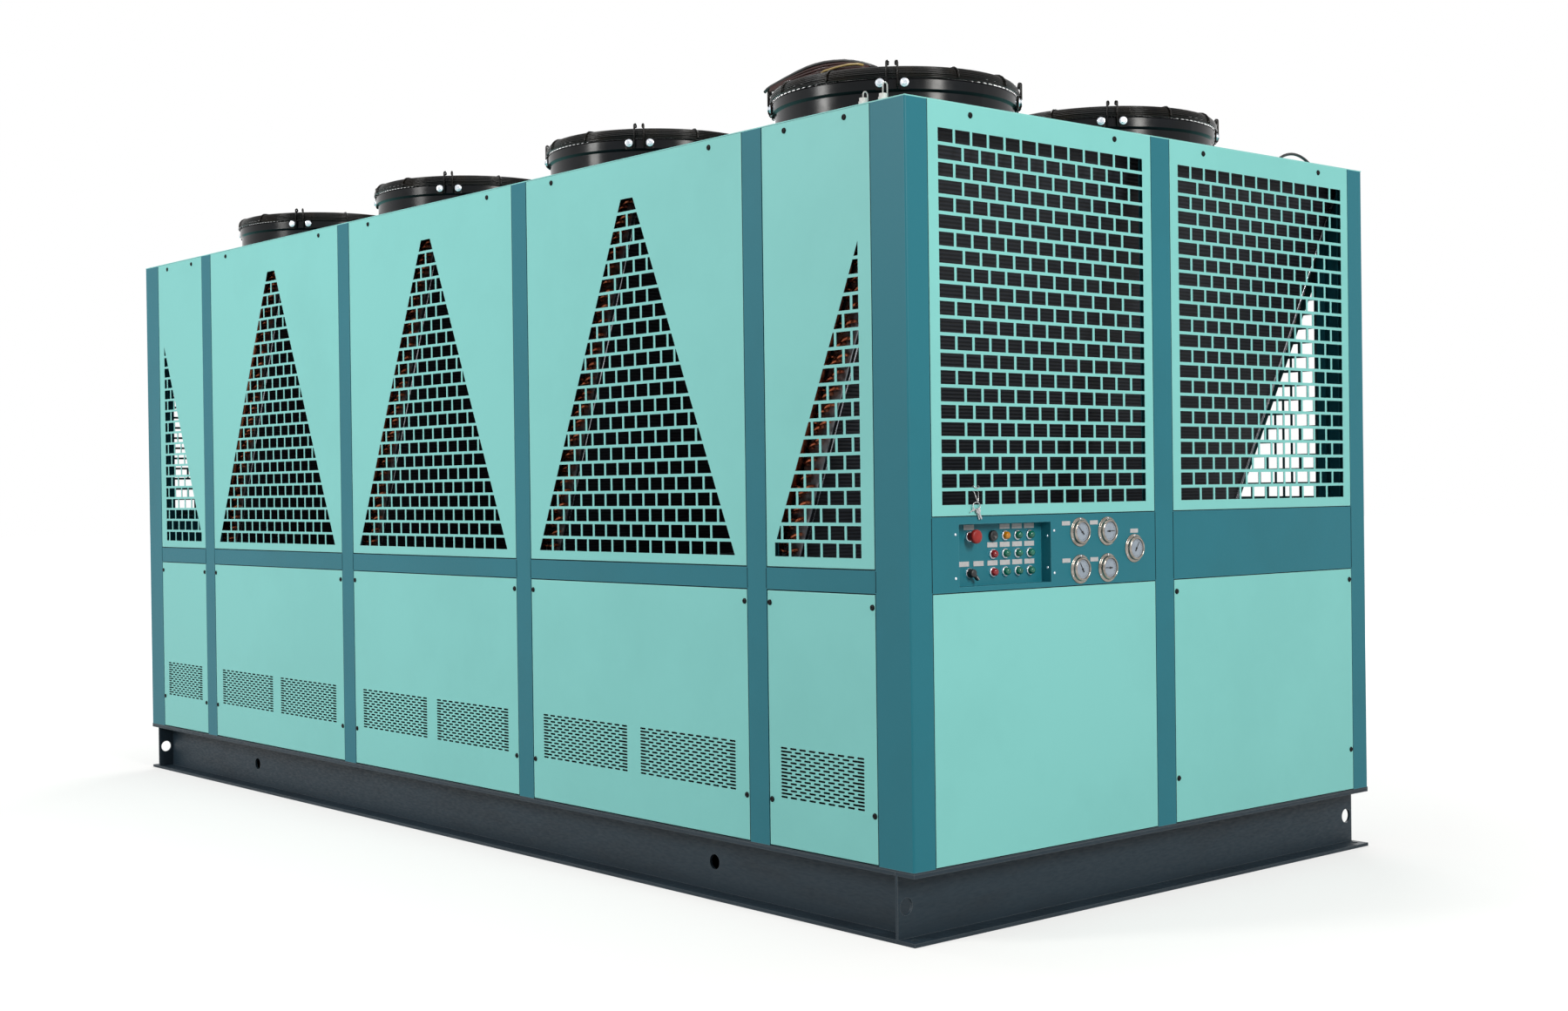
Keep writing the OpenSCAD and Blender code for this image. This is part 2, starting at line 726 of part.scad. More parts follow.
// An impeller: a hub with a blind bore for the shaft, and its ring of blades
module impeller(i) {
    p = fan_places[i - 1];
    sweep = 2 * hub_h;
    color(black) translate([p.x, p.y, top_z + hub_z]) {
        difference() {
            cylinder(r = hub_r, h = hub_h);
            translate([0, 0, shaft_z - hub_z - 2]) cylinder(r = shaft_r + shaft_gap, h = hub_h);
        }
        intersection() {
            for (k = [0 : blades - 1]) rotate(k * 360 / blades) blade();
            translate([0, 0, -sweep / 2]) difference() {
                cylinder(r = blade_r, h = 2 * sweep);
                translate([0, 0, -eps]) cylinder(r = hub_r - 4, h = 2 * sweep + 2 * eps);
            }
        }
    }
}

// A cable that rises in an arch along X from the level z = 0 and comes back to it
module arch(l, rise, r) {
    bend = (l * l / 4 + rise * rise) / (2 * rise);
    turn = acos((bend - rise - 2 * r) / bend);
    difference() {
        translate([0, 0, rise - bend]) rotate([90, 0, 0]) rotate(90 - turn)
            rotate_extrude(angle = 2 * turn, $fn = 144) translate([bend, 0]) circle(r);
        translate([-l, -l, -l]) cube([2 * l, 2 * l, l]);
    }
}

// Places a piece on each gland's axis at the level of the roof
module at_glands() {
    for (i = [0, 1]) translate([body_l / 2 - gland_x - i * gland_pitch, gland_y - body_w / 2, top_z])
        children();
}

module cable_glands() {
    color("gainsboro") at_glands() {
        cylinder(d = gland_d, h = nut_h, $fn = 6);
        cylinder(d = gland_d - 5, h = gland_h);
    }
}

// A lead over the last front fan, one on the roof's back edge and the wires of the glands
module cables() {
    p = fan_places[3];
    across = (flat_ring_r - guard_bar / 2) * cos(45);
    color(black) {
        translate([p.x, p.y - across, top_z + guard_top]) arch(2 * across, lead_rise, lead_r);
        translate([body_l / 2 - roof_arch_x, body_w / 2 - roof_arch_y, top_z]) rotate(90)
            arch(roof_arch_l, roof_arch_h, lead_r);
        at_glands() translate([0, wire_bend, gland_h]) {
            rotate([90, 0, 90]) rotate_extrude(angle = 180, $fn = 96) translate([wire_bend, 0])
                circle(wire_r);
            translate([0, wire_bend, -gland_h]) cylinder(r = wire_r, h = gland_h);
        }
    }
}

// Turns a profile drawn as radius and height into a piece that stands out of the right end,
// with its foot at depth d behind the face
module outward(x, z, d) {
    on_right() translate([x, d, z]) rotate([90, 0, 0]) rotate_extrude() children();
}

module pressure_gauges() {
    bezel_r = gauge_case_r + 2;
    color("gainsboro") for (p = concat(gauge_places, [last_gauge])) outward(p.x, p.y, 0)
        polygon([[0, -30], [gauge_case_r, -30], [gauge_case_r, 0], [gauge_d / 2, 0],
            [gauge_d / 2, 3], [bezel_r, 3], [bezel_r, 10], [bezel_r - 4, 15],
            [bezel_r - 7, 15], [bezel_r - 7, 9], [0, 9]]);
}

// A lamp has a body behind the plate, a bezel and a domed lens
module lamp() {
    bezel_r = lamp_d / 2;
    lens_r = bezel_r - 3;
    polygon([[0, -20], [lamp_body_r, -20], [lamp_body_r, 0], [bezel_r, 0], [bezel_r, 5],
        [lens_r, 8], [lens_r, 13], [lens_r - 3, 17], [lens_r - 7, 19], [0, 19]]);
}

module pilot_lamps() {
    floor_d = recess_d;
    color("green") for (i = [0 : 3], j = [0 : 2]) if (i > 0 || j < 2)
        outward(lamp_cols[i], lamp_rows[j], floor_d) lamp();
}

module buzzer() {
    bezel_r = lamp_d / 2 + 1;
    color(black) outward(lamp_cols[0], lamp_rows[2], recess_d)
        polygon([[0, -20], [lamp_body_r, -20], [lamp_body_r, 0], [bezel_r, 0], [bezel_r, 9],
            [bezel_r - 2, 11], [0, 11]]);
}

// The stop's stem slides in its hole, and its head stands clear by its travel
module emergency_stop() {
    head_z = stop_travel + 9;
    head_r = stop_d / 2;
    stem_r = lamp_body_r;
    color("firebrick") outward(column_x, lamp_rows[2], recess_d)
        polygon([[0, -20], [stem_r, -20], [stem_r, head_z], [head_r - 3, head_z],
            [head_r, head_z + 3], [head_r, head_z + 10], [head_r - 6, head_z + 16],
            [0, head_z + 18]]);
}

// The selector's knob turns in its hole, and its lever points down to the right
module selector_switch() {
    lever_w = 9;
    lever_l = 28;
    knob_h = 22;
    bezel_r = lamp_d / 2;
    color(black) {
        outward(column_x, lamp_rows[0], recess_d)
            polygon([[0, -20], [lamp_body_r, -20], [lamp_body_r, fit], [bezel_r, fit],
                [bezel_r, 10], [bezel_r - 3, knob_h], [0, knob_h]]);
        on_right() translate([column_x, recess_d - knob_h, lamp_rows[0]]) rotate([0, -45, 0])
            translate([-lever_w / 2, 0, -lever_l]) cube([lever_w, knob_h - 8, lever_l]);
    }
}

base_long_channels();
base_end_channels();
base_cross_members();
base_deck();
corner_posts();
side_posts();
end_posts();
side_rails();
end_rails();
control_rail();
control_box();
front_lower_panels();
back_lower_panels();
end_lower_panels();
front_grille_left();
front_grille_middle();
front_grille_right();
front_half_grilles();
back_grille_left();
back_grille_middle();
back_grille_right();
back_half_grilles();
left_end_grille_front();
left_end_grille_back();
right_end_grille_front();
right_end_grille_back();
roof_panels();
coil_deck();
condenser_coils();
coil_end_plates();
fan_cowls();
fan_guards();
fan_motors();
impeller(1);  // impeller_1
impeller(2);  // impeller_2
impeller(3);  // impeller_3
impeller(4);  // impeller_4
impeller(5);  // impeller_5
impeller(6);  // impeller_6
impeller(7);  // impeller_7
impeller(8);  // impeller_8
pressure_gauges();
pilot_lamps();
buzzer();
emergency_stop();
selector_switch();
cable_glands();
cables();
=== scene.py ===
"""Dresses the air cooled water chiller: paint, slotted panels, coils, fan guards and controls.

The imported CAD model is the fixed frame. Each class below is one sub-assembly, which keeps its
sizes in metres, builds its meshes in the frame's own axes and rides them on a CAD body.
"""

import logging
import math
from collections.abc import Iterable, Sequence
from dataclasses import dataclass
from enum import Enum
from typing import ClassVar

import bmesh
import bpy
from mathutils import Matrix, Vector


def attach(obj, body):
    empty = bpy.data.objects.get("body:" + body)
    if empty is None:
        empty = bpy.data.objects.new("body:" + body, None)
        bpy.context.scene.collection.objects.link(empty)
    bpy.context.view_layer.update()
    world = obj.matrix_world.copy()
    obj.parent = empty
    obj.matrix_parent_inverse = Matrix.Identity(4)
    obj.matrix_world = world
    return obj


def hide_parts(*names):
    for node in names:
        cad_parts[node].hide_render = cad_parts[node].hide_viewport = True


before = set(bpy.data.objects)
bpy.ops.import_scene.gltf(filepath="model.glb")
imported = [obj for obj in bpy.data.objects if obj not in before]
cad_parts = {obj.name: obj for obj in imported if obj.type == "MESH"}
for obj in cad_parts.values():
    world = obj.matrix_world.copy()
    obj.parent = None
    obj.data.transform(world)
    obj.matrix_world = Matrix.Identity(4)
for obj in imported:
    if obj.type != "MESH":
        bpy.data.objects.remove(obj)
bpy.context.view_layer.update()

LOG = logging.getLogger("chiller")
MM = 0.001
CABINET = "cabinet"
TINY = 1e-6  # next to nothing: a radius on the axis, or the slope of an upright side
Floats = tuple[float, ...]
Pair = tuple[float, float]
Vec3 = tuple[float, float, float]
Outline = list[Pair]
Profile = Sequence[Pair]


class Side(Enum):
    """The four sides of the cabinet, as a turn about +Z from the front, in degrees."""

    FRONT = 0
    RIGHT = 90
    BACK = 180
    LEFT = 270

    @property
    def long(self) -> bool:
        """Tells the long sides from the ends."""
        return self in (Side.FRONT, Side.BACK)


@dataclass(frozen=True)
class Layout:
    """Main sizes of the cabinet, as the CAD source has them."""

    half_length: float = 2.540
    half_width: float = 1.100
    deck_z: float = 0.205
    rail_z: float = 0.966
    side_upper_z: float = 1.030
    end_upper_z: float = 1.177
    roof_z: float = 2.335
    full_bay: float = 1.170
    narrow_bay: float = 0.471
    end_bay: float = 0.972
    full_bay_x: Floats = (-1.258, 0.0, 1.258)
    narrow_bay_x: Floats = (-2.1665, 2.1665)
    end_bay_x: Floats = (-0.530, 0.530)
    fan_x: Floats = (-1.887, -0.629, 0.629, 1.887)
    fan_y: Floats = (-0.505, 0.505)
    panel_gap: float = 0.003
    panel_depth: float = 0.022

    def bays(self, side: Side) -> list[Pair]:
        """Lists the bays of one side.

        Args:
            side: the side of the cabinet.

        Returns:
            The middle and the width of each bay, the full bays before the narrow ones.
        """
        if not side.long:
            return [(x, self.end_bay) for x in self.end_bay_x]
        return [(x, self.full_bay) for x in self.full_bay_x] + [(x, self.narrow_bay) for x in self.narrow_bay_x]


PLAN = Layout()


def spin(angle: float, axis: str = "Z") -> Matrix:
    """Gives a turn about an axis by an angle in degrees."""
    return Matrix.Rotation(math.radians(angle), 4, axis)


def move(x: float = 0.0, y: float = 0.0, z: float = 0.0) -> Matrix:
    """Gives a shift along the three axes."""
    return Matrix.Translation((x, y, z))


def on_side(side: Side, along: float, height: float, depth: float = 0.0) -> Matrix:
    """Gives the place of a piece on one side of the cabinet.

    Args:
        side: the side that carries the piece.
        along: distance from the middle of the side, to the right as seen from outside.
        height: height above the ground.
        depth: distance behind the cabinet's outer face.

    Returns:
        A matrix whose local X runs to the right, Y upwards and Z outwards.
    """
    reach = PLAN.half_width if side.long else PLAN.half_length
    front = Matrix(((1, 0, 0, along), (0, 0, -1, depth - reach), (0, 1, 0, height), (0, 0, 0, 1)))
    return spin(side.value) @ front


def linear(hex_colour: str) -> tuple[float, float, float, float]:
    """Turns an sRGB hex value into the linear colour that a shader takes.

    Args:
        hex_colour: six hex digits after a hash.

    Returns:
        Red, green and blue, and an alpha of 1.
    """
    channels = [int(hex_colour[i:i + 2], 16) / 255 for i in (1, 3, 5)]
    red, green, blue = [c / 12.92 if c <= 0.04045 else ((c + 0.055) / 1.055) ** 2.4 for c in channels]
    return red, green, blue, 1.0


def put(tree: bpy.types.NodeTree, kind: str, inputs: dict | None = None, **settings: object) -> bpy.types.Node:
    """Adds one node with its settings and links.

    Args:
        tree: the node tree that takes the node.
        kind: Blender's name of the node type.
        inputs: values or sockets by input name or number; a socket is linked.
        settings: the node's own options.

    Returns:
        The new node.
    """
    node = tree.nodes.new(kind)
    for key, value in settings.items():
        setattr(node, key, value)
    for key, value in (inputs or {}).items():
        if isinstance(value, bpy.types.NodeSocket):
            tree.links.new(value, node.inputs[key])
        else:
            node.inputs[key].default_value = value
    return node


def work(tree: bpy.types.NodeTree, operation: str, first: object, second: object) -> bpy.types.NodeSocket:
    """Works out one sum of two values or sockets and gives its socket."""
    return put(tree, "ShaderNodeMath", {0: first, 1: second}, operation=operation).outputs[0]


def mix(tree: bpy.types.NodeTree, share: object, first: object, second: object) -> bpy.types.NodeSocket:
    """Blends two colours by a share of the second one and gives the blend's socket."""
    return put(tree, "ShaderNodeMix", {0: share, 6: first, 7: second}, data_type="RGBA").outputs[2]


def remap(tree: bpy.types.NodeTree, value: bpy.types.NodeSocket, source: Pair = (0.0, 1.0),
          target: Pair = (0.0, 1.0)) -> bpy.types.NodeSocket:
    """Stretches a value over another range, without running past its ends.

    Args:
        tree: the node tree.
        value: the socket that gives the value.
        source: the value's range.
        target: the range of the result.

    Returns:
        The socket that gives the result.
    """
    return put(tree, "ShaderNodeMapRange", {
        "Value": value, "From Min": source[0], "From Max": source[1],
        "To Min": target[0], "To Max": target[1]}).outputs[0]


@dataclass(frozen=True)
class Finish:
    """A finish: what the material is, the pattern that its making left on it, and its paler arrises.

    Sizes in millimetres set the pattern: blotch is the spread of the second colour, grain
    the texture that bump and roughness follow, and edge the width of the paler arrises, worn
    paint in part and a painted highlight in part.
    """

    name: str
    colour: str
    roughness: float
    metallic: float = 0.0
    second: str = ""
    blotch_mm: float = 500.0
    grain_mm: float = 6.0
    grain_depth_mm: float = 0.0
    rough_spread: float = 0.0
    edge: str = ""
    edge_mm: float = 2.0
    stretch: Vec3 = (1.0, 1.0, 1.0)
    specular: float = 0.5
    # Most values of the blotches' and of the grain's noise lie in these ranges.
    blotch_range: ClassVar[Pair] = (0.45, 0.65)
    grain_range: ClassVar[Pair] = (0.3, 0.7)
    # Cosine of the bend where an arris begins to turn paler, and where it is palest; the paleness is wear in part and a
    # painted highlight in part.
    arris_wear_and_highlight_range: ClassVar[Pair] = (0.995, 0.86)
    blotch_noise: ClassVar[dict[str, float]] = {"Detail": 5.0, "Roughness": 0.6}
    grain_noise: ClassVar[dict[str, float]] = {"Detail": 2.0}
    bevel_samples: ClassVar[int] = 4
    bump_strength: ClassVar[float] = 0.6

    def make(self) -> bpy.types.Material:
        """Makes the Blender material of this finish."""
        material = bpy.data.materials.new(self.name)
        material.use_nodes = True
        tree = material.node_tree
        shader = tree.nodes["Principled BSDF"]
        for socket, value in (("Base Color", linear(self.colour)), ("Roughness", self.roughness),
                              ("Metallic", self.metallic), ("Specular IOR Level", self.specular)):
            shader.inputs[socket].default_value = value
        self.pattern(tree, shader)
        return material

    def pattern(self, tree: bpy.types.NodeTree, shader: bpy.types.Node) -> None:
        """Adds the colour, roughness and relief that vary over the surface.

        Args:
            tree: the material's node tree.
            shader: its principled shader.
        """
        place = put(tree, "ShaderNodeTexCoord")
        scaled = put(tree, "ShaderNodeMapping", {"Vector": place.outputs["Object"], "Scale": self.stretch})
        grain = put(tree, "ShaderNodeTexNoise", {
            "Vector": scaled.outputs[0], "Scale": 1 / (self.grain_mm * MM), **self.grain_noise})
        colour = linear(self.colour)
        if self.second:
            blotch = put(tree, "ShaderNodeTexNoise", {
                "Vector": scaled.outputs[0], "Scale": 1 / (self.blotch_mm * MM), **self.blotch_noise})
            share = remap(tree, blotch.outputs["Fac"], self.blotch_range)
            colour = mix(tree, share, colour, linear(self.second))
        # Paler arrises: worn paint, and on the powder coats of the panels and posts a painted highlight.
        if self.edge:
            rounded = put(tree, "ShaderNodeBevel", {"Radius": self.edge_mm * MM}, samples=self.bevel_samples)
            flat = put(tree, "ShaderNodeNewGeometry")
            bent = put(tree, "ShaderNodeVectorMath", {
                0: rounded.outputs[0], 1: flat.outputs["Normal"]}, operation="DOT_PRODUCT")
            worn = remap(tree, bent.outputs["Value"], self.arris_wear_and_highlight_range)
            colour = mix(tree, worn, colour, linear(self.edge))
        if self.second or self.edge:
            tree.links.new(colour, shader.inputs["Base Color"])
        if self.rough_spread:
            rough = remap(tree, grain.outputs["Fac"], self.grain_range,
                          (self.roughness - self.rough_spread, self.roughness + self.rough_spread))
            tree.links.new(rough, shader.inputs["Roughness"])
        if self.grain_depth_mm:
            bump = put(tree, "ShaderNodeBump", {
                "Height": grain.outputs["Fac"], "Distance": self.grain_depth_mm * MM,
                "Strength": self.bump_strength})
            tree.links.new(bump.outputs[0], shader.inputs["Normal"])


@dataclass(frozen=True)
class FinPack(Finish):
    """Dark fins on rows of tubes, seen as fine level lines; the dark is coating in part and painted shade in part."""

    line_mm: float = 11.0
    line_depth_mm: float = 1.5
    line_strength: float = 0.8
    line: str = "#22262D"
    # Radians that the wave texture runs through in each unit of its scale.
    wave_rate: ClassVar[float] = 20.0

    def pattern(self, tree: bpy.types.NodeTree, shader: bpy.types.Node) -> None:
        """Draws the level lines; the real ones lie 4 mm apart, too fine for the render.

        Args:
            tree: the material's node tree.
            shader: its principled shader.
        """
        place = put(tree, "ShaderNodeTexCoord")
        lines = put(tree, "ShaderNodeTexWave", {
            "Vector": place.outputs["Object"], "Scale": math.tau / (self.wave_rate * self.line_mm * MM),
            "Distortion": 0.0}, wave_type="BANDS", bands_direction="Z")
        colour = mix(tree, lines.outputs["Fac"], linear(self.colour), linear(self.line))
        tree.links.new(colour, shader.inputs["Base Color"])
        bump = put(tree, "ShaderNodeBump", {
            "Height": lines.outputs["Fac"], "Distance": self.line_depth_mm * MM, "Strength": self.line_strength})
        tree.links.new(bump.outputs[0], shader.inputs["Normal"])


@dataclass(frozen=True)
class Galvanised(Finish):
    """Hot dipped zinc on sheet steel, which freezes in flat spangles of differing grey."""

    spangle_mm: float = 14.0
    rough_spread: float = 0.1

    def pattern(self, tree: bpy.types.NodeTree, shader: bpy.types.Node) -> None:
        """Gives each spangle a grey and a roughness of its own.

        Args:
            tree: the material's node tree.
            shader: its principled shader.
        """
        place = put(tree, "ShaderNodeTexCoord")
        spangle = put(tree, "ShaderNodeTexVoronoi", {
            "Vector": place.outputs["Object"], "Scale": 1 / (self.spangle_mm * MM)})
        grey = put(tree, "ShaderNodeRGBToBW", {0: spangle.outputs["Color"]})
        colour = mix(tree, grey.outputs[0], linear(self.colour), linear(self.second))
        tree.links.new(colour, shader.inputs["Base Color"])
        spread = (self.roughness - self.rough_spread, self.roughness + self.rough_spread)
        tree.links.new(remap(tree, grey.outputs[0], target=spread), shader.inputs["Roughness"])


@dataclass(frozen=True)
class ShadedPowderCoat(Finish):
    """Powder coat, with painted shade in a dark teal on hole walls and inner faces behind the cabinet's outer faces."""

    # The colour of the painted shade, and how far behind the outer face it begins and is full.
    inner_shade: str = "#24555B"
    thin_mm: float = 0.5
    bare_mm: float = 1.3

    def pattern(self, tree: bpy.types.NodeTree, shader: bpy.types.Node) -> None:
        """Paints shade a little way behind the nearest outer face: a dark teal on the walls of holes and slots and on
        the panels' inner faces.

        Args:
            tree: the material's node tree.
            shader: its principled shader.
        """
        super().pattern(tree, shader)
        coat = shader.inputs["Base Color"].links[0].from_socket
        place = put(tree, "ShaderNodeTexCoord")
        across = put(tree, "ShaderNodeVectorMath", {0: place.outputs["Object"]}, operation="ABSOLUTE")
        parts = put(tree, "ShaderNodeSeparateXYZ", {0: across.outputs[0]})
        depths = [work(tree, "SUBTRACT", reach, parts.outputs[axis])
                  for axis, reach in (("X", PLAN.half_length), ("Y", PLAN.half_width), ("Z", PLAN.roof_z))]
        nearest = work(tree, "MINIMUM", work(tree, "MINIMUM", depths[0], depths[1]), depths[2])
        # Share of painted shade, rising with depth behind the outer face.
        bare = remap(tree, nearest, (self.thin_mm * MM, self.bare_mm * MM))
        tree.links.new(mix(tree, bare, coat, linear(self.inner_shade)), shader.inputs["Base Color"])


class Finishes:
    """Every finish of the chiller, made once."""

    def __init__(self) -> None:
        """Makes the materials."""
        # Polyester powder baked on sheet steel: an even satin skin with a faint orange peel and
        # slightly paler arrises, partly where the powder draws thin and partly a painted highlight.
        # The aqua panels also carry painted shade on hole walls and inner faces behind their outer faces.
        self.panel = ShadedPowderCoat(
            "aqua polyester powder coat", "#82CFCB", 0.5, second="#7ECAC6", blotch_mm=700, grain_mm=7,
            grain_depth_mm=0.05, rough_spread=0.03, edge="#A6E2DD", edge_mm=1.4).make()
        self.post = Finish(
            "teal polyester powder coat", "#1A707F", 0.48, second="#186C7A", blotch_mm=600, grain_mm=7,
            grain_depth_mm=0.05, rough_spread=0.03, edge="#4A8D9A", edge_mm=2.0, specular=0.32).make()
        # Brushed alkyd enamel over mill scale: dull, a little streaky along the bar, with
        # bare scuffs along the flanges' edges.
        self.base = Finish(
            "slate alkyd enamel on rolled channel", "#1E2D37", 0.55, second="#19262F", blotch_mm=160, grain_mm=9,
            grain_depth_mm=0.25, rough_spread=0.1, edge="#4C5459", edge_mm=3.0, stretch=(0.35, 0.35, 1.6),
            specular=0.3).make()
        # Stoved black enamel on drawn steel: deep black with soft, long highlights, and a faint blue tint that paints
        # the bluish cast of its reflections.
        self.fan = Finish(
            "black stoved enamel on drawn steel", "#05070A", 0.2, grain_mm=40, grain_depth_mm=0.1,
            rough_spread=0.04, second="#080B10", blotch_mm=120, specular=0.18).make()
        # Dip coated wire: the same black, a little duller where the coat ran, with warm brown blotches that paint
        # golden reflections of warm light.
        self.wire = Finish(
            "black dip coated wire", "#050505", 0.18, grain_mm=60, rough_spread=0.06, second="#17110A", blotch_mm=90,
            specular=0.16).make()
        # Die cast aluminium blades under black epoxy: satin with a fine cast grain.
        self.blade = Finish(
            "black epoxy on cast aluminium", "#131416", 0.4, grain_mm=5, grain_depth_mm=0.15, rough_spread=0.06,
            second="#1A1B1E", blotch_mm=60).make()
        # Epoxy coated fins: close to black, the dark epoxy in part and painted shade of the cabinet's inside in part,
        # with level lines painted a little lighter as a highlight.
        self.fins = FinPack("black epoxy coated fins", "#0F1115", 0.55, specular=0.3).make()
        # Hot dipped sheet: pale grey flakes of zinc.
        self.zinc_sheet = Galvanised(
            "hot dip galvanised sheet", "#8D949B", 0.45, metallic=1.0, second="#B3B9BF").make()
        # Drawn copper tube, browned by brazing and handling.
        self.copper = Finish(
            "drawn copper tube", "#B86A4B", 0.32, metallic=1.0, second="#7A3B2A", blotch_mm=35, rough_spread=0.08,
            grain_mm=6).make()
        # Pressed and polished stainless steel: a mirror whose colour is darkened to paint the reflection of dark
        # surroundings, with a little haze from handling.
        self.steel = Finish(
            "polished stainless steel", "#98928A", 0.16, metallic=1.0, second="#7C766E", blotch_mm=18,
            rough_spread=0.05, grain_mm=12).make()
        # Bright zinc plate on bolts and washers: pale, bluish and a little cloudy.
        self.zinc = Finish(
            "bright zinc plated steel", "#DDE2E8", 0.26, metallic=1.0, second="#C2C9D2", blotch_mm=8,
            rough_spread=0.08, grain_mm=3).make()
        # Black oxide screws: near black, oily satin.
        self.screw = Finish(
            "black oxide steel", "#060809", 0.4, second="#0B0D0F", blotch_mm=6, rough_spread=0.08, grain_mm=2,
            specular=0.12).make()
        # Enamelled dial with printed ticks: a cool pale grey under matt black ink.
        self.dial = Finish(
            "white enamelled dial plate", "#98A4B1", 0.4, second="#8F9BA9", blotch_mm=30).make()
        self.ink = Finish("black screen ink", "#161616", 0.55, second="#1E1E1E", blotch_mm=10).make()
        # Two ply engraving laminate, left blank: off white and matt.
        self.label = Finish(
            "white engraving laminate", "#BCBCBE", 0.55, second="#B3B3B5", blotch_mm=20, grain_mm=2,
            grain_depth_mm=0.03).make()
        # Moulded polycarbonate lenses: deep colour under a bright skin.
        self.green = Finish(
            "green polycarbonate lens", "#045E4A", 0.1, second="#067860", blotch_mm=14).make()
        self.red = Finish(
            "red polycarbonate lens", "#860C16", 0.1, second="#A0121C", blotch_mm=14).make()
        self.amber = Finish(
            "amber polycarbonate lens", "#BE7806", 0.1, second="#D69212", blotch_mm=14).make()
        # Moulded nylon and ABS: satin with a faint spark eroded grain.
        self.black = Finish(
            "black moulded nylon", "#151618", 0.42, second="#1B1C1F", blotch_mm=25, grain_mm=1.5,
            grain_depth_mm=0.05).make()
        self.mushroom = Finish(
            "red moulded nylon", "#9A2A26", 0.42, second="#8C2320", blotch_mm=25, grain_mm=1.5,
            grain_depth_mm=0.05, specular=0.3).make()
        # Nickel plated steel of the keys and their ring: silver, scratched in use.
        self.nickel = Finish(
            "nickel plated steel", "#C9CACB", 0.26, metallic=1.0, second="#8E9092", blotch_mm=6,
            rough_spread=0.1, grain_mm=2).make()
        # Closed cell rubber pressed into the joints: dull, and a teal black that also paints the shade in the joints
        # and gaps.
        self.rubber = Finish(
            "black foam rubber seal", "#092229", 0.8, second="#071C22", blotch_mm=30, grain_mm=2,
            grain_depth_mm=0.1, specular=0.2).make()
        # Moulded polyamide glands: pale grey and satin.
        self.gland = Finish(
            "pale grey moulded polyamide", "#CFCFCC", 0.42, second="#C4C4C1", blotch_mm=20, grain_mm=1.5,
            grain_depth_mm=0.04).make()
        # Extruded PVC: smooth satin sheath and coloured cores.
        self.sheath = Finish(
            "black extruded PVC sheath", "#08080A", 0.35, second="#0E0E10", blotch_mm=60, grain_mm=14,
            grain_depth_mm=0.1, rough_spread=0.05).make()
        self.pale_core = Finish(
            "pale grey extruded PVC core", "#B4B5B3", 0.35, second="#A6A7A5", blotch_mm=60).make()
        self.brown_core = Finish(
            "brown extruded PVC core", "#33120E", 0.4, second="#240C09", blotch_mm=60, specular=0.3).make()
        self.earth_core = Finish(
            "yellow extruded PVC core", "#A28A4E", 0.35, second="#8E7840", blotch_mm=60).make()

    def dress(self) -> None:
        """Gives each CAD node its finish."""
        wear = {
            self.base: ("base_",),
            self.post: ("corner_posts", "side_posts", "end_posts", "side_rails", "end_rails", "control_"),
            self.panel: ("front_", "back_", "end_lower", "left_end", "right_end", "roof_"),
            self.fins: ("condenser_",),
            self.zinc_sheet: ("coil_",),
            self.fan: ("fan_",),
            self.blade: ("impeller_",),
            self.steel: ("pressure_",),
            self.gland: ("cable_glands",),
            self.sheath: ("cables",),
            self.green: ("pilot_",),
            self.black: ("buzzer", "selector_"),
            self.mushroom: ("emergency_",),
        }
        for name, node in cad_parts.items():
            finish = next(m for m, starts in wear.items() if name.startswith(starts))
            node.data.materials.clear()
            node.data.materials.append(finish)
            LOG.info("%s: %s", name, finish.name)


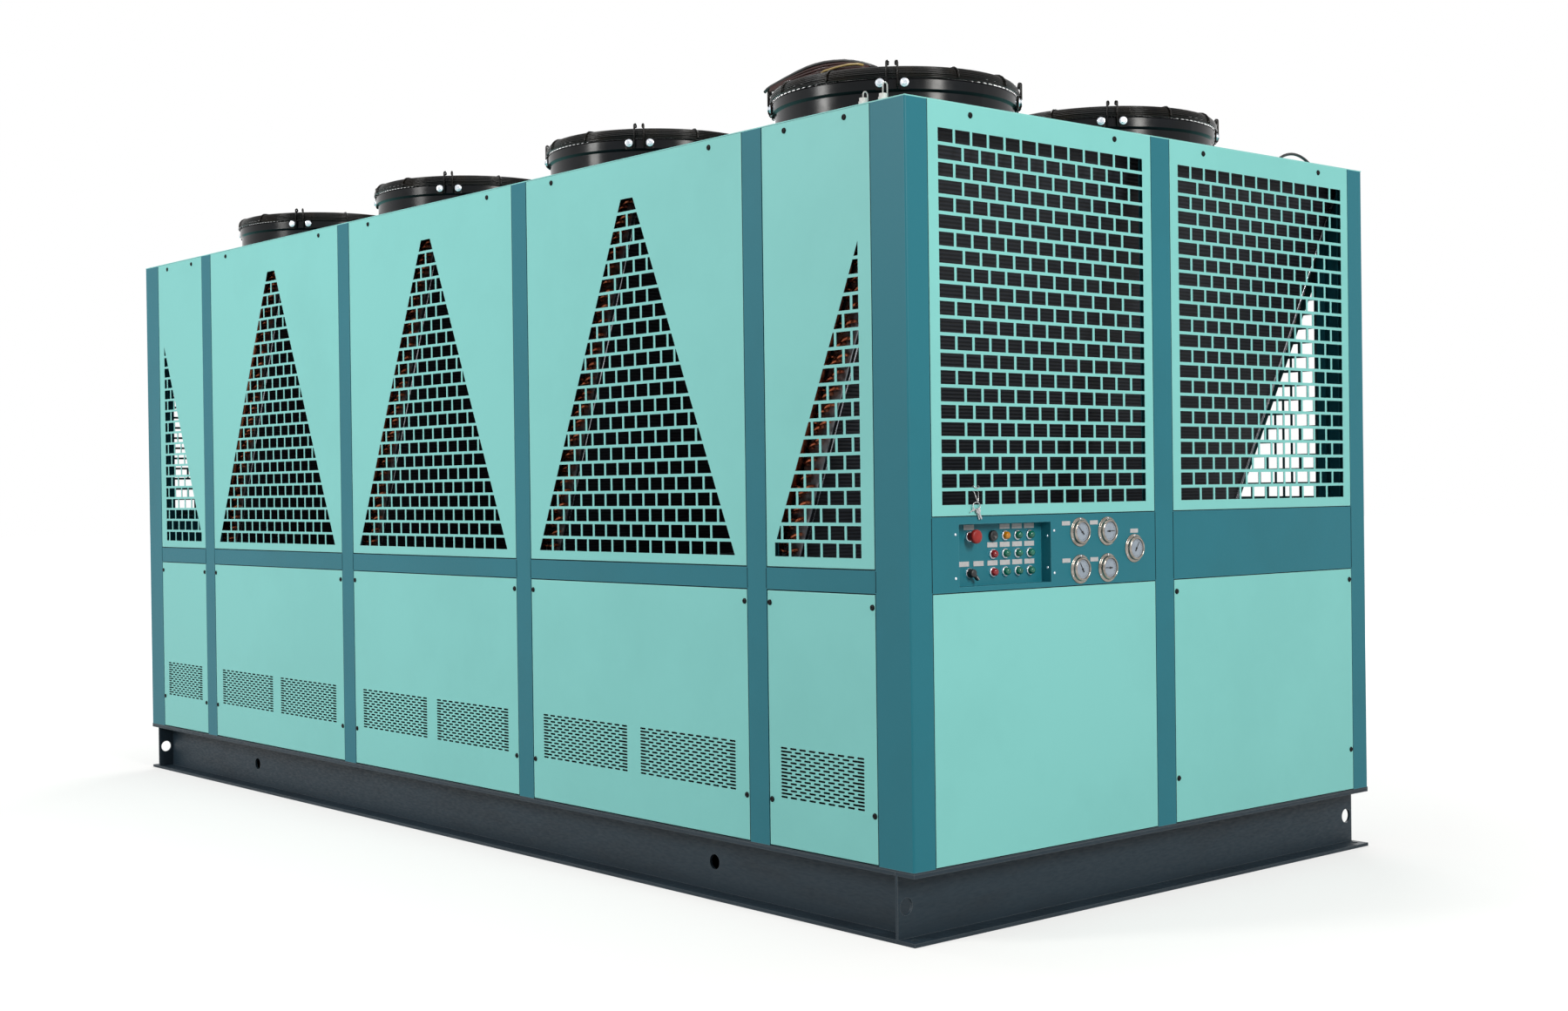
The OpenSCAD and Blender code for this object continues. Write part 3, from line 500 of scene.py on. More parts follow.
class Stock:
    """The mesh of one piece, gathered from simple shapes before it is made."""

    def __init__(self, name: str) -> None:
        """Starts an empty piece with its final name."""
        self.name = name
        self.points: list[Vector] = []
        self.faces: list[tuple[int, ...]] = []
        self.smooth: list[bool] = []
        self.worn: list[int] = []
        self.finishes: list[bpy.types.Material] = []

    def add(self, points: Iterable[Sequence[float]], faces: Iterable[Sequence[int]], finish: bpy.types.Material,
            place: Matrix | None = None, smooth: bool = False) -> None:
        """Adds a ready made shape.

        Args:
            points: its vertices.
            faces: its faces, as numbers of those vertices.
            finish: the material of its faces.
            place: where it goes, or None where the points are final.
            smooth: whether its faces are shaded smooth.
        """
        start = len(self.points)
        self.points += [place @ Vector(p) if place else Vector(p) for p in points]
        if finish not in self.finishes:
            self.finishes.append(finish)
        for face in faces:
            self.faces.append(tuple(start + i for i in face))
            self.smooth.append(smooth)
            self.worn.append(self.finishes.index(finish))

    def tube(self, path: Sequence[Sequence[float]], radius: float, finish: bpy.types.Material, sides: int = 6,
             closed: bool = False, place: Matrix | None = None) -> None:
        """Adds a round wire or pipe along a path.

        Args:
            path: the points of its centre line.
            radius: its outer radius.
            finish: its material.
            sides: flats around it.
            closed: whether the path runs back to its start.
            place: where it goes, or None where the path is final.
        """
        spine = [Vector(p) for p in path]
        ahead = spine[1:] + [spine[0] if closed else 2 * spine[-1] - spine[-2]]
        behind = [spine[-1] if closed else 2 * spine[0] - spine[1]] + spine[:-1]
        turns = [math.tau * k / sides for k in range(sides)]
        normal = (ahead[0] - behind[0]).orthogonal()
        points: list[Vector] = []
        for here, after, before in zip(spine, ahead, behind):
            along = (after - before).normalized()
            normal = (normal - along * normal.dot(along)).normalized()
            across = along.cross(normal)
            points += [here + radius * (math.cos(t) * normal + math.sin(t) * across) for t in turns]
        count = len(spine)
        walls = []
        for i in range(count if closed else count - 1):
            a, b = i * sides, (i + 1) % count * sides
            walls += [(a + k, a + (k + 1) % sides, b + (k + 1) % sides, b + k) for k in range(sides)]
        self.add(points, walls, finish, place, smooth=True)
        if not closed:
            first = len(self.points) - len(points)
            last = len(self.points) - sides
            self.faces += [tuple(first + k for k in reversed(range(sides))), tuple(last + k for k in range(sides))]
            self.smooth += [False, False]
            self.worn += [self.finishes.index(finish)] * 2

    def ring(self, radius: float, height: float, wire: float, finish: bpy.types.Material, steps: int = 64,
             sides: int = 5) -> None:
        """Adds a level wire ring about the local Z axis.

        Args:
            radius: radius of its centre line.
            height: height of its centre line.
            wire: radius of the wire.
            finish: its material.
            steps: straight pieces around the ring.
            sides: flats around the wire.
        """
        turn = math.tau / steps
        path = [(radius * math.cos(i * turn), radius * math.sin(i * turn), height) for i in range(steps)]
        self.tube(path, wire, finish, sides, closed=True)

    def turned(self, profile: Profile, finish: bpy.types.Material, place: Matrix, steps: int = 24,
               smooth: bool = True) -> None:
        """Adds a turned shape about the local Z axis.

        Args:
            profile: radius and height of its outline, from the foot outside to the top inside.
            finish: its material.
            place: where it goes.
            steps: flats around it.
            smooth: whether it is shaded smooth.
        """
        points: list[Vec3] = []
        rows: list[list[int]] = []
        for radius, height in profile:
            count = steps if radius > TINY else 1
            rows.append([len(points) + k if count > 1 else len(points) for k in range(steps)])
            points += [(radius * math.cos(math.tau * k / steps), radius * math.sin(math.tau * k / steps), height)
                       for k in range(count)]
        faces = []
        for low, high in zip(rows, rows[1:]):
            for k in range(steps):
                loop = (low[k], low[(k + 1) % steps], high[(k + 1) % steps], high[k])
                corners = tuple(dict.fromkeys(loop))
                if len(corners) > 2:
                    faces.append(corners)
        self.add(points, faces, finish, place, smooth)

    def block(self, size: Sequence[float], finish: bpy.types.Material, place: Matrix, edge: float = 0.0) -> None:
        """Adds a block with rounded arrises, centred on its place.

        Args:
            size: its three lengths.
            finish: its material.
            place: where its middle goes.
            edge: width of the rounding.
        """
        shape = bmesh.new()
        bmesh.ops.create_cube(shape, size=1.0, matrix=Matrix.Diagonal((*size, 1.0)))
        if edge:
            bmesh.ops.bevel(shape, geom=shape.edges[:], offset=edge, segments=2, profile=0.5, affect="EDGES")
        shape.verts.index_update()
        self.add([v.co for v in shape.verts], [[v.index for v in f.verts] for f in shape.faces], finish, place)
        shape.free()

    def cut_sheet(self, loops: Sequence[Profile], thickness: float, finish: bpy.types.Material,
                  place: Matrix) -> None:
        """Adds a flat sheet with holes, on the local XY plane with its face on z = 0.

        Args:
            loops: the sheet's outline and then its holes.
            thickness: thickness of the sheet, behind its face.
            finish: its material.
            place: where it goes.
        """
        curve = bpy.data.curves.new(self.name + "_sheet", "CURVE")
        curve.dimensions = "2D"
        curve.fill_mode = "BOTH"
        curve.extrude = thickness / 2
        for loop in loops:
            spline = curve.splines.new("POLY")
            spline.points.add(len(loop) - 1)
            spline.points.foreach_set("co", [c for x, y in loop for c in (x, y, 0.0, 1.0)])
            spline.use_cyclic_u = True
        holder = bpy.data.objects.new(curve.name, curve)
        mesh = bpy.data.meshes.new_from_object(holder)
        self.add([v.co for v in mesh.vertices], [p.vertices[:] for p in mesh.polygons], finish,
                 place @ move(z=-thickness / 2))
        bpy.data.objects.remove(holder)
        bpy.data.curves.remove(curve)
        bpy.data.meshes.remove(mesh)

    def mesh(self) -> bpy.types.Mesh:
        """Makes the mesh with its finishes."""
        mesh = bpy.data.meshes.new(self.name)
        mesh.from_pydata(self.points, [], self.faces)
        for finish in self.finishes:
            mesh.materials.append(finish)
        mesh.polygons.foreach_set("material_index", self.worn)
        mesh.polygons.foreach_set("use_smooth", self.smooth)
        mesh.update()
        return mesh

    def make(self, slot: str, body: str = CABINET, replaces: Sequence[str] = (),
             places: Sequence[Matrix] = (Matrix.Identity(4),)) -> None:
        """Makes the piece, or one piece for each of its places, and rides it on a body.

        Args:
            slot: not used.
            body: the CAD body that carries the piece.
            replaces: CAD nodes that the piece stands for.
            places: where the piece goes.
        """
        mesh = self.mesh()
        for i, place in enumerate(places, 1):
            name = f"{self.name}_{i}" if len(places) > 1 else self.name
            piece = bpy.data.objects.new(name, mesh)
            bpy.context.scene.collection.objects.link(piece)
            piece.matrix_world = place
            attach(piece, body)
            if replaces:
                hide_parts(*replaces)
            LOG.info("%s: %d faces on %s", name, len(self.faces), body)


def rectangle(width: float, height: float) -> Outline:
    """Gives a rectangle's corners about the origin."""
    x, y = width / 2, height / 2
    return [(-x, -y), (x, -y), (x, y), (-x, y)]


def inset(radius: float, steps: Profile) -> Outline:
    """Gives the profile of a turned shape from its steps in from a radius."""
    return [(radius - step, height) for step, height in steps]


@dataclass
class Trays:
    """Folded sheet panels in the bays of the long sides; each kind has holes of its own."""

    finishes: Finishes
    fold: float = 0.0025
    sheet: float = 0.002
    fold_turns: Floats = (0, 30, 60, 90)

    def holes(self, x: float, width: float) -> list[Outline]:
        """Gives the holes of one bay.

        Args:
            x: the middle of the bay.
            width: its width.

        Returns:
            Their outlines, as distances from the bay's middle and heights above the ground.
        """
        raise NotImplementedError

    def build_sides(self, kind: str, low: float, high: float, replaced: Sequence[str]) -> None:
        """Builds the panels of the front as one piece and those of the back as another.

        Args:
            kind: the end of the pieces' names.
            low: height of the panels' foot.
            high: height of their top.
            replaced: the ends of the names of the CAD nodes that a piece stands for.
        """
        middle = (low + high) / 2
        for side in (Side.FRONT, Side.BACK):
            name = side.name.lower()
            stock = Stock(name + kind)
            for x, width in PLAN.bays(side):
                holes = [[(along, z - middle) for along, z in hole] for hole in self.holes(x, width)]
                self.tray(stock, width - 2 * PLAN.panel_gap, high - low, holes, on_side(side, x, middle))
            stock.make("panel_paint", replaces=[name + node for node in replaced])

    def tray(self, stock: Stock, width: float, height: float, holes: list[Outline], place: Matrix) -> None:
        """Builds one folded tray about its middle.

        Args:
            stock: the piece that takes the tray.
            width: width over the folds.
            height: height over the folds.
            holes: outlines of the holes in its face.
            place: where the middle of its face goes.
        """
        flat = rectangle(width - 2 * self.fold, height - 2 * self.fold)
        stock.cut_sheet([flat, *holes], self.sheet, self.finishes.panel, place)
        arc = [math.radians(t) for t in self.fold_turns]
        section = [(self.fold * (1 - math.sin(t)), -self.fold * (1 - math.cos(t))) for t in arc]
        depth = PLAN.panel_depth
        section += [(0, -depth), (self.sheet, -depth), (self.sheet, -self.fold), (self.fold, -self.sheet)]
        points = [(x, y, z) for edge, z in section for x, y in rectangle(width - 2 * edge, height - 2 * edge)]
        faces = []
        for i in range(len(section)):
            a, b = i * 4, (i + 1) % len(section) * 4
            faces += [(a + k, b + k, b + (k + 1) % 4, a + (k + 1) % 4) for k in range(4)]
        stock.add(points, faces, self.finishes.panel, place)


@dataclass
class SlottedPanels(Trays):
    """The lower panels of the long sides, with rows of slots near the foot."""

    slot_h: float = 0.006
    slot_w: float = 0.0292
    slot_pitch: float = 0.0413
    rows: int = 15
    foot_z: float = 0.353
    field_h: float = 0.150
    full_columns: int = 12
    narrow_columns: int = 9
    full_offset: float = 0.277
    end_turns: Floats = (-90, -45, 0, 45, 90)

    def holes(self, x: float, width: float) -> list[Outline]:
        """Gives one field of slots in a narrow bay and two in a full one."""
        if width == PLAN.narrow_bay:
            return self.slot_field(0.0, self.narrow_columns)
        return [slot for centre in (-self.full_offset, self.full_offset)
                for slot in self.slot_field(centre, self.full_columns)]

    def slot_field(self, centre: float, columns: int) -> list[Outline]:
        """Works out the slots of one field, where every other row starts and ends with a long slot.

        Args:
            centre: middle of the field along the panel.
            columns: slots in a full row.

        Returns:
            The outlines of the slots.
        """
        width = (columns - 1) * self.slot_pitch + self.slot_w
        left = centre - width / 2
        step = (self.field_h - self.slot_h) / (self.rows - 1)
        slots = []
        for row in range(self.rows):
            z = self.foot_z + self.slot_h / 2 + row * step
            shift = row % 2 * self.slot_pitch / 2
            count = columns - row % 2
            for i in range(count):
                a = left + shift + i * self.slot_pitch
                b = a + self.slot_w
                a -= shift if i == 0 else 0
                b += shift if i == count - 1 else 0
                slots.append(self.slot_outline(a, b, z))
        return slots

    def slot_outline(self, a: float, b: float, z: float) -> Outline:
        """Gives a slot with round ends between two places along the panel.

        Args:
            a: its left end.
            b: its right end.
            z: its height.

        Returns:
            The outline of the slot.
        """
        r = self.slot_h / 2
        turns = [math.radians(t) for t in self.end_turns]
        right = [(b - r + r * math.cos(t), z + r * math.sin(t)) for t in turns]
        return right + [(a + r - r * math.cos(t), z - r * math.sin(t)) for t in turns]

    def build(self) -> None:
        """Builds the slotted panels between the deck and the rails."""
        self.build_sides("_slotted_panels", PLAN.deck_z + PLAN.panel_gap, PLAN.rail_z - PLAN.panel_gap,
                         ["_lower_panels"])


@dataclass
class SideGrilles(Trays):
    """The upper panels of the long sides, with triangles of brick bonded holes, halved in the narrow bays."""

    bar: float = 0.0093
    row_pitch: float = 0.050
    hole_pitch: float = 0.069
    foot: float = 0.0337
    rows: int = 23
    tip: float = 0.0326
    slope: float = 0.434
    corner_min: float = 0.0195
    half_rows: int = 18
    half_foot: float = 0.3877
    half_cut: float = 0.3735
    half_edge: float = 0.179
    top_z: float = 2.332

    def holes(self, x: float, width: float) -> list[Outline]:
        """Gives a triangle in a full bay and half of one in a narrow bay."""
        foot = PLAN.side_upper_z + self.foot
        return self.half_triangle(foot, 1 if x > 0 else -1) if width == PLAN.narrow_bay else self.triangle(foot)

    def row(self, bars: Sequence[float], low: float, high: float, edge: float, foot: float,
            slope: float) -> list[Outline]:
        """Works out one row of holes, whose ends are cut off by the triangle's sloping sides.

        Args:
            bars: middles of the row's upright bars.
            low: where the left side reaches the row's foot.
            high: where the right side would reach it.
            edge: where the row stops on the right.
            foot: height of the row's foot.
            slope: how far the sides lean in for each metre of height.

        Returns:
            The outlines of the row's holes.
        """
        tall = self.row_pitch - self.bar
        lean = tall * slope
        half = self.bar / 2
        outlines = []
        for a, b in zip([low, *(x + half for x in bars)], [*(x - half for x in bars), edge]):
            rise_a, rise_b = (min(tall, (x - low) / slope, (high - x) / slope) for x in (a, b))
            right = [(high, 0.0)] if b >= high else [(b, 0.0), (b, rise_b)]
            tips = [(high - lean, tall)] if high - b < lean < high - a else []
            tips += [(low + lean, tall)] if a - low < lean < b - low else []
            left = [(low, 0.0)] if a <= low else [(a, rise_a), (a, 0.0)]
            outlines.append([(x, foot + z) for x, z in right + tips + left])
        return outlines

    def triangle(self, foot: float) -> list[Outline]:
        """Works out the holes of a full bay.

        Args:
            foot: height of the lowest row's foot.

        Returns:
            The outlines of the holes, where slivers join the hole beside them.
        """
        tall = self.row_pitch - self.bar
        outlines = []
        for row in range(self.rows):
            above = self.rows - 1 - row
            reach = self.tip + (above * self.row_pitch + tall) * self.slope
            shift = 0.0 if above % 2 else 0.5
            n = math.floor((reach - self.corner_min - self.bar / 2) / self.hole_pitch - shift)
            bars = [(i + shift) * self.hole_pitch for i in range(-n - round(2 * shift), n + 1)]
            outlines += self.row(bars, -reach, reach, reach, foot + row * self.row_pitch, self.slope)
        return outlines

    def half_triangle(self, foot: float, mirror: int) -> list[Outline]:
        """Works out the holes of a narrow bay, with the upright side towards the corner.

        Args:
            foot: height of the lowest row's foot.
            mirror: 1 for the bay on the right, -1 for the one on the left.

        Returns:
            The outlines of the holes.
        """
        wide = self.hole_pitch - self.bar
        outlines = []
        for row in range(self.half_rows):
            reach = self.half_foot - row * self.row_pitch * self.slope if row else self.half_cut
            first = wide if row % 2 else wide - self.hole_pitch / 2
            n = math.floor((reach - self.corner_min - first - self.bar) / self.hole_pitch)
            bars = [-first - self.bar / 2 - i * self.hole_pitch for i in range(n, -1, -1)]
            # The lowest row is cut off upright, so its side has next to no slope.
            outlines += self.row(bars, -reach, self.half_cut, 0.0, foot + row * self.row_pitch,
                                 self.slope if row else TINY)
        return [[(mirror * (x + self.half_edge), z) for x, z in outline][::mirror] for outline in outlines]

    def build(self) -> None:
        """Builds the pierced panels between the rails and the roof."""
        self.build_sides("_grilles", PLAN.side_upper_z + PLAN.panel_gap, self.top_z,
                         ["_grille_left", "_grille_middle", "_grille_right", "_half_grilles"])


@dataclass
class EndGrilles:
    """The pierced panels of the ends, with their holes trimmed wider, down to slender bars."""

    finishes: Finishes
    trim: float = 0.00135
    wall_depth: float = 0.003
    weld: float = 1e-5
    facing: float = 0.1
    same: float = 0.999

    def build(self) -> None:
        """Builds one piece for each pierced CAD node of the ends."""
        for name, node in list(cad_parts.items()):
            if "end_grille" in name:
                stock = Stock(name + "_trimmed")
                stock.add(self.widened(node), [p.vertices[:] for p in node.data.polygons], self.finishes.panel)
                stock.make("panel_paint", replaces=[name])

    def widened(self, node: bpy.types.Object) -> list[Vector]:
        """Moves the walls of the holes apart.

        Args:
            node: the CAD node.

        Returns:
            The new place of each of its vertices.
        """
        spots = [node.matrix_world @ v.co for v in node.data.vertices]
        keys = [tuple(round(c / self.weld) for c in spot) for spot in spots]
        walls: dict[tuple[int, ...], list[Vector]] = {}
        for face in node.data.polygons:
            deepest = max(PLAN.half_length - abs(spots[i].x) for i in face.vertices)
            if abs(face.normal.x) > self.facing or deepest > self.wall_depth:
                continue
            for i in face.vertices:
                known = walls.setdefault(keys[i], [])
                if all(face.normal.dot(n) < self.same for n in known):
                    known.append(face.normal.copy())
        for i, key in enumerate(keys):
            normals = walls.get(key, [])[:2]
            if normals:
                spread = 1 + normals[0].dot(normals[1]) if len(normals) == 2 else 1.0
                spots[i] = spots[i] - sum(normals, Vector()) * self.trim / spread
        return spots


@dataclass
class Screws:
    """The black pan head screws that hold the panels."""

    finishes: Finishes
    head_r: float = 0.0088
    head_h: float = 0.0042
    side_top_z: float = 2.308
    lower_z: Floats = (0.344, 0.927)
    lower_inset: float = 0.0145
    full_top_x: float = 0.427
    narrow_top_x: float = 0.1295
    end_top_z: float = 2.305
    end_top_y: float = 0.313
    # Shares of the head's radius and height.
    head: Profile = ((1, 0), (0.97, 0.45), (0.78, 0.85), (0.5, 1), (0.42, 1), (0.38, 0.4), (0, 0.4))

    def places(self) -> list[Matrix]:
        """Lists the screws' places on all sides; the far end repeats the near one."""
        found = []
        for side in (Side.FRONT, Side.BACK):
            for x, width in PLAN.bays(side):
                top = self.narrow_top_x if width == PLAN.narrow_bay else self.full_top_x
                for s in (-1, 1):
                    found.append(on_side(side, x + s * top, self.side_top_z))
                    foot = x + s * (width / 2 - self.lower_inset)
                    found += [on_side(side, foot, z) for z in self.lower_z]
        for side in (Side.RIGHT, Side.LEFT):
            for y in PLAN.end_bay_x:
                found += [on_side(side, y + s * self.end_top_y, self.end_top_z) for s in (-1, 1)]
            y = PLAN.end_bay_x[1]
            found += [on_side(side, y + s * (PLAN.end_bay / 2 - self.lower_inset), z)
                      for s in (-1, 1) for z in self.lower_z]
        return found

    def build(self) -> None:
        """Builds all screws as one piece."""
        profile = [(r * self.head_r, h * self.head_h) for r, h in self.head]
        stock = Stock("panel_screws")
        for place in self.places():
            stock.turned(profile, self.finishes.screw, place, steps=16)
        stock.make("black_plastic")


@dataclass
class JointSeals:
    """Dark rubber in the joints between the rails and the posts and in the gaps around the panels; its teal black also
    paints the shade in them.
    """

    finishes: Finishes
    radius: float = 0.0017
    sunk: float = 0.0008
    room: float = 0.002
    strip: float = 0.0028
    strip_from: float = 0.004
    strip_t: float = 0.004

    def build(self) -> None:
        """Builds the seals of all sides, the joints as one piece and the gaps as another."""
        joints, gaps = Stock("joint_seals"), Stock("panel_seals")
        for side in Side:
            upper_z = PLAN.side_upper_z if side.long else PLAN.end_upper_z
            for x, width in PLAN.bays(side):
                for joint in (x - width / 2, x + width / 2):
                    joints.tube([(0, PLAN.rail_z + self.room, 0), (0, upper_z - self.room, 0)], self.radius,
                                self.finishes.rubber, sides=8, place=on_side(side, joint, 0.0, self.sunk))
                self.frame(gaps, side, x, width, PLAN.deck_z, PLAN.rail_z)
                self.frame(gaps, side, x, width, upper_z, PLAN.roof_z)
        joints.make("black_plastic")
        gaps.make("black_plastic")

    def frame(self, stock: Stock, side: Side, x: float, width: float, low: float, high: float) -> None:
        """Fills the gap around one panel; at the roof the panel has none.

        Args:
            stock: the piece that takes the seal.
            side: the side of the cabinet.
            x: the middle of the bay.
            width: the bay's width.
            low: its foot.
            high: its top.
        """
        edge, depth = PLAN.panel_gap / 2, self.strip_from + self.strip_t / 2
        for s in (-1, 1):
            stock.block((self.strip, high - low, self.strip_t), self.finishes.rubber,
                        on_side(side, x + s * (width / 2 - edge), (low + high) / 2, depth))
        for z in (low + edge, high - edge)[:1 if high == PLAN.roof_z else 2]:
            stock.block((width, self.strip, self.strip_t), self.finishes.rubber, on_side(side, x, z, depth))


@dataclass
class CoilEnds:
    """Copper return bends and headers on the end plates of the coils, and the plates' bright edges."""

    finishes: Finishes
    foot: float = 0.062
    head: float = 0.574
    foot_z: float = 1.030
    head_z: float = 2.287
    plate_y: float = 1.030
    tube_r: float = 0.006
    row_gap: float = 0.022
    pitch: float = 0.0508
    straight: float = 0.009
    header_r: float = 0.016
    header_gap: float = 0.053
    end_room: float = 0.04
    edge_r: float = 0.0022
    edge_out: float = 0.0395
    edge_in: float = 0.014
    bend_rise: float = 0.45
    bend_steps: int = 6
    header_stand: float = 0.002
    lead_out: float = 0.012
    lead_back: float = 0.004
    lead_share: float = 0.8

    def build(self) -> None:
        """Builds the copper work and the end plates' bright edges of the front and of the back."""
        for name, face in (("front_return_bends", -1), ("back_return_bends", 1)):
            stock = Stock(name)
            for x in PLAN.fan_x:
                for lean in (-1, 1):
                    self.coil_end(stock, x, lean, face)
            stock.make("galvanised")

    def coil_end(self, stock: Stock, x: float, lean: int, face: int) -> None:
        """Adds the bends, the header and the bright edge of one end of one coil.

        Args:
            stock: the piece that takes them.
            x: the axis of the V.
            lean: which coil of the V, -1 or 1.
            face: -1 for the front end plate, 1 for the back.
        """
        foot = Vector((x + lean * self.foot, face * self.plate_y, self.foot_z))
        slope = Vector((lean * (self.head - self.foot), 0, self.head_z - self.foot_z))
        length, up = slope.length, slope.normalized()
        across = Vector((lean * up.z, 0, -lean * up.x))
        out = Vector((0, face, 0))
        count = int((length - 2 * self.end_room) / self.pitch)
        for k in range(count):
            for row in (-1, 0):
                start = foot + up * (self.end_room + (k - row / 2) * self.pitch) + across * row * self.row_gap
                stop = start + up * self.pitch * self.bend_rise + across * self.row_gap
                self.bend(stock, start, stop, out)
        rim = foot + across * self.edge_out - out * self.edge_in
        stock.tube([rim, rim + slope], self.edge_r, self.finishes.zinc)
        head = foot - across * self.header_gap + out * (self.header_r + self.header_stand)
        stock.tube([head + up * t for t in (self.end_room, length / 2, length - self.end_room)],
                   self.header_r, self.finishes.copper, sides=12)
        for k in range(0, count, 2):
            root = foot + up * (self.end_room + k * self.pitch) - across * self.row_gap
            lead = head + up * (self.end_room + k * self.pitch)
            bent = root + out * self.lead_out - across * self.lead_back
            stock.tube([root, bent, lead], self.tube_r * self.lead_share, self.finishes.copper)

    def bend(self, stock: Stock, start: Vector, stop: Vector, out: Vector) -> None:
        """Adds one return bend between two tubes.

        Args:
            stock: the piece that takes it.
            start: where the first tube leaves the plate.
            stop: where the second one does.
            out: the direction away from the plate.
        """
        middle, arm = (start + stop) / 2, (start - stop) / 2
        radius = arm.length
        turns = [math.pi * i / self.bend_steps for i in range(self.bend_steps + 1)]
        arc = [middle + arm * math.cos(t) + out * (self.straight + radius * math.sin(t)) for t in turns]
        stock.tube([start, *arc, stop], self.tube_r, self.finishes.copper)


@dataclass
class FanGuards:
    """The wire guards over the fans, with their legs, hooks and bolts."""

    finishes: Finishes
    outer_r: float = 0.394
    top_z: float = 0.184
    shoulder: float = 0.030
    shoulder_turns: Floats = (2, 12, 22, 33, 44, 55, 66, 78)
    rim_z: float = 0.1497
    ring_pitch: float = 0.0118
    inner_r: float = 0.085
    ring_wire: float = 0.0024
    rim_wire: float = 0.0032
    rib_wire: float = 0.0026
    rib_angle: float = 30.0
    leg_angle: float = 5.3
    leg_r: float = 0.3885
    leg_z: float = 0.110
    leg_size: Vec3 = (0.005, 0.024, 0.042)
    arm_size: Pair = (0.014, 0.003)
    hook_spread: float = 0.0165
    hook_wire: float = 0.0034
    hook_foot: float = 0.122
    eye_r: float = 0.0060
    eye_z: float = 0.1905
    gusset_t: float = 0.003
    gusset: Profile = (
        (0.3885, 0.114), (0.396, 0.114), (0.401, 0.120), (0.401, 0.152), (0.3885, 0.152))
    bolt_z: float = 0.132
    corners: Floats = (45, 135, 225, 315)
    rib_turns: Floats = (90, 70, 50, 30, 15, 0)
    rib_sunk: float = 0.8
    rib_root: float = 0.012
    hook_lean: float = 0.003
    hook_rise: float = 0.006
    hook_turns: Floats = tuple(range(0, 301, 30))
    eye_in: float = 0.7
    eye_across: float = 0.5
    arris: float = 0.001
    washer: Profile = ((0.0135, 0), (0.0135, 0.002), (0.0128, 0.0026), (0.008, 0.0026))
    bolt: Profile = ((0.0095, 0.0026), (0.0095, 0.0086), (0.008, 0.0096), (0, 0.0096))
    plate_room: float = 0.008
    plate_drop: float = 0.005
    plate_rim: Profile = ((0, -0.001), (0, 0.003), (0.002, 0.005), (0.014, 0.005), (0.017, 0.003))
    plate_hub: Profile = ((0.03, 0.003), (0.028, 0.006), (0, 0.006))
    plate_screw_r: float = 0.047
    plate_screw_z: float = 0.003
    plate_screw_turns: Floats = (0, 90, 180, 270)
    plate_screw: Profile = ((0.006, 0), (0.006, 0.003), (0.004, 0.0042), (0, 0.0042))

    def build(self) -> None:
        """Builds one guard and places it on every fan."""
        wires = Stock("fan_guard_wires")
        self.rings(wires)
        for corner in self.corners:
            for s in (-1, 1):
                self.rib(wires, corner + s * self.rib_angle)
                self.hook(wires, corner, s)
                self.brace(wires, corner, s)
                self.leg(wires, corner + s * self.leg_angle)
        self.motor_plate(wires)
        places = [move(x, y, PLAN.roof_z) for y in PLAN.fan_y for x in PLAN.fan_x]
        wires.make("fan_paint", replaces=["fan_guards"], places=places)

    def rings(self, stock: Stock) -> None:
        """Adds the rim and the rings of the shoulder and the flat top."""
        finish = self.finishes.wire
        stock.ring(self.outer_r, self.rim_z, self.rim_wire, finish, sides=6)
        centre_r, centre_z = self.outer_r - self.shoulder, self.top_z - self.shoulder
        for turn in self.shoulder_turns:
            t = math.radians(turn)
            stock.ring(centre_r + self.shoulder * math.cos(t), centre_z + self.shoulder * math.sin(t),
                       self.ring_wire, finish)
        for i in range(int((centre_r - self.inner_r) / self.ring_pitch) + 1):
            stock.ring(centre_r - i * self.ring_pitch, self.top_z, self.ring_wire, finish)

    def rib(self, stock: Stock, angle: float) -> None:
        """Adds one rib over the rings, from the motor plate over the shoulder to the rim."""
        lift = self.ring_wire + self.rib_sunk * self.rib_wire
        centre_r, centre_z = self.outer_r - self.shoulder, self.top_z - self.shoulder
        bend = self.shoulder + lift
        turns = [math.radians(t) for t in self.rib_turns]
        arc = [(centre_r + bend * math.cos(t), centre_z + bend * math.sin(t)) for t in turns]
        spine = [(self.inner_r - self.rib_root, self.top_z + lift), *arc, (self.outer_r + lift, self.rim_z)]
        stock.tube([(r, 0, z) for r, z in spine], self.rib_wire, self.finishes.wire, place=spin(angle))

    def hook(self, stock: Stock, corner: float, side: int) -> None:
        """Adds one hook, a wire that stands on its gusset and ends in an eye above the rings.

        Args:
            stock: the piece that takes it.
            corner: the middle of its pair of legs, in degrees.
            side: which hook of the pair, -1 or 1.
        """
        r = self.outer_r + self.ring_wire + self.hook_wire
        y = side * self.hook_spread
        path = [(r - self.hook_lean, y, self.hook_foot), (r, y, self.hook_foot + self.hook_rise)]
        for turn in self.hook_turns:
            t = math.radians(turn)
            bow = self.eye_r * (1 - math.cos(t))
            path.append((r - self.eye_in * bow, y - self.eye_across * side * bow,
                         self.eye_z + self.eye_r * math.sin(t)))
        stock.tube(path, self.hook_wire, self.finishes.wire, place=spin(corner))

    def brace(self, stock: Stock, corner: float, side: int) -> None:
        """Adds one upright gusset between the cowl's band and the guard's rim.

        Args:
            stock: the piece that takes it.
            corner: the middle of its pair of legs, in degrees.
            side: which gusset of the pair, -1 or 1.
        """
        beside = move(y=side * self.hook_spread - self.gusset_t / 2)
        stock.cut_sheet([self.gusset], self.gusset_t, self.finishes.wire, spin(corner) @ beside @ spin(90, "X"))

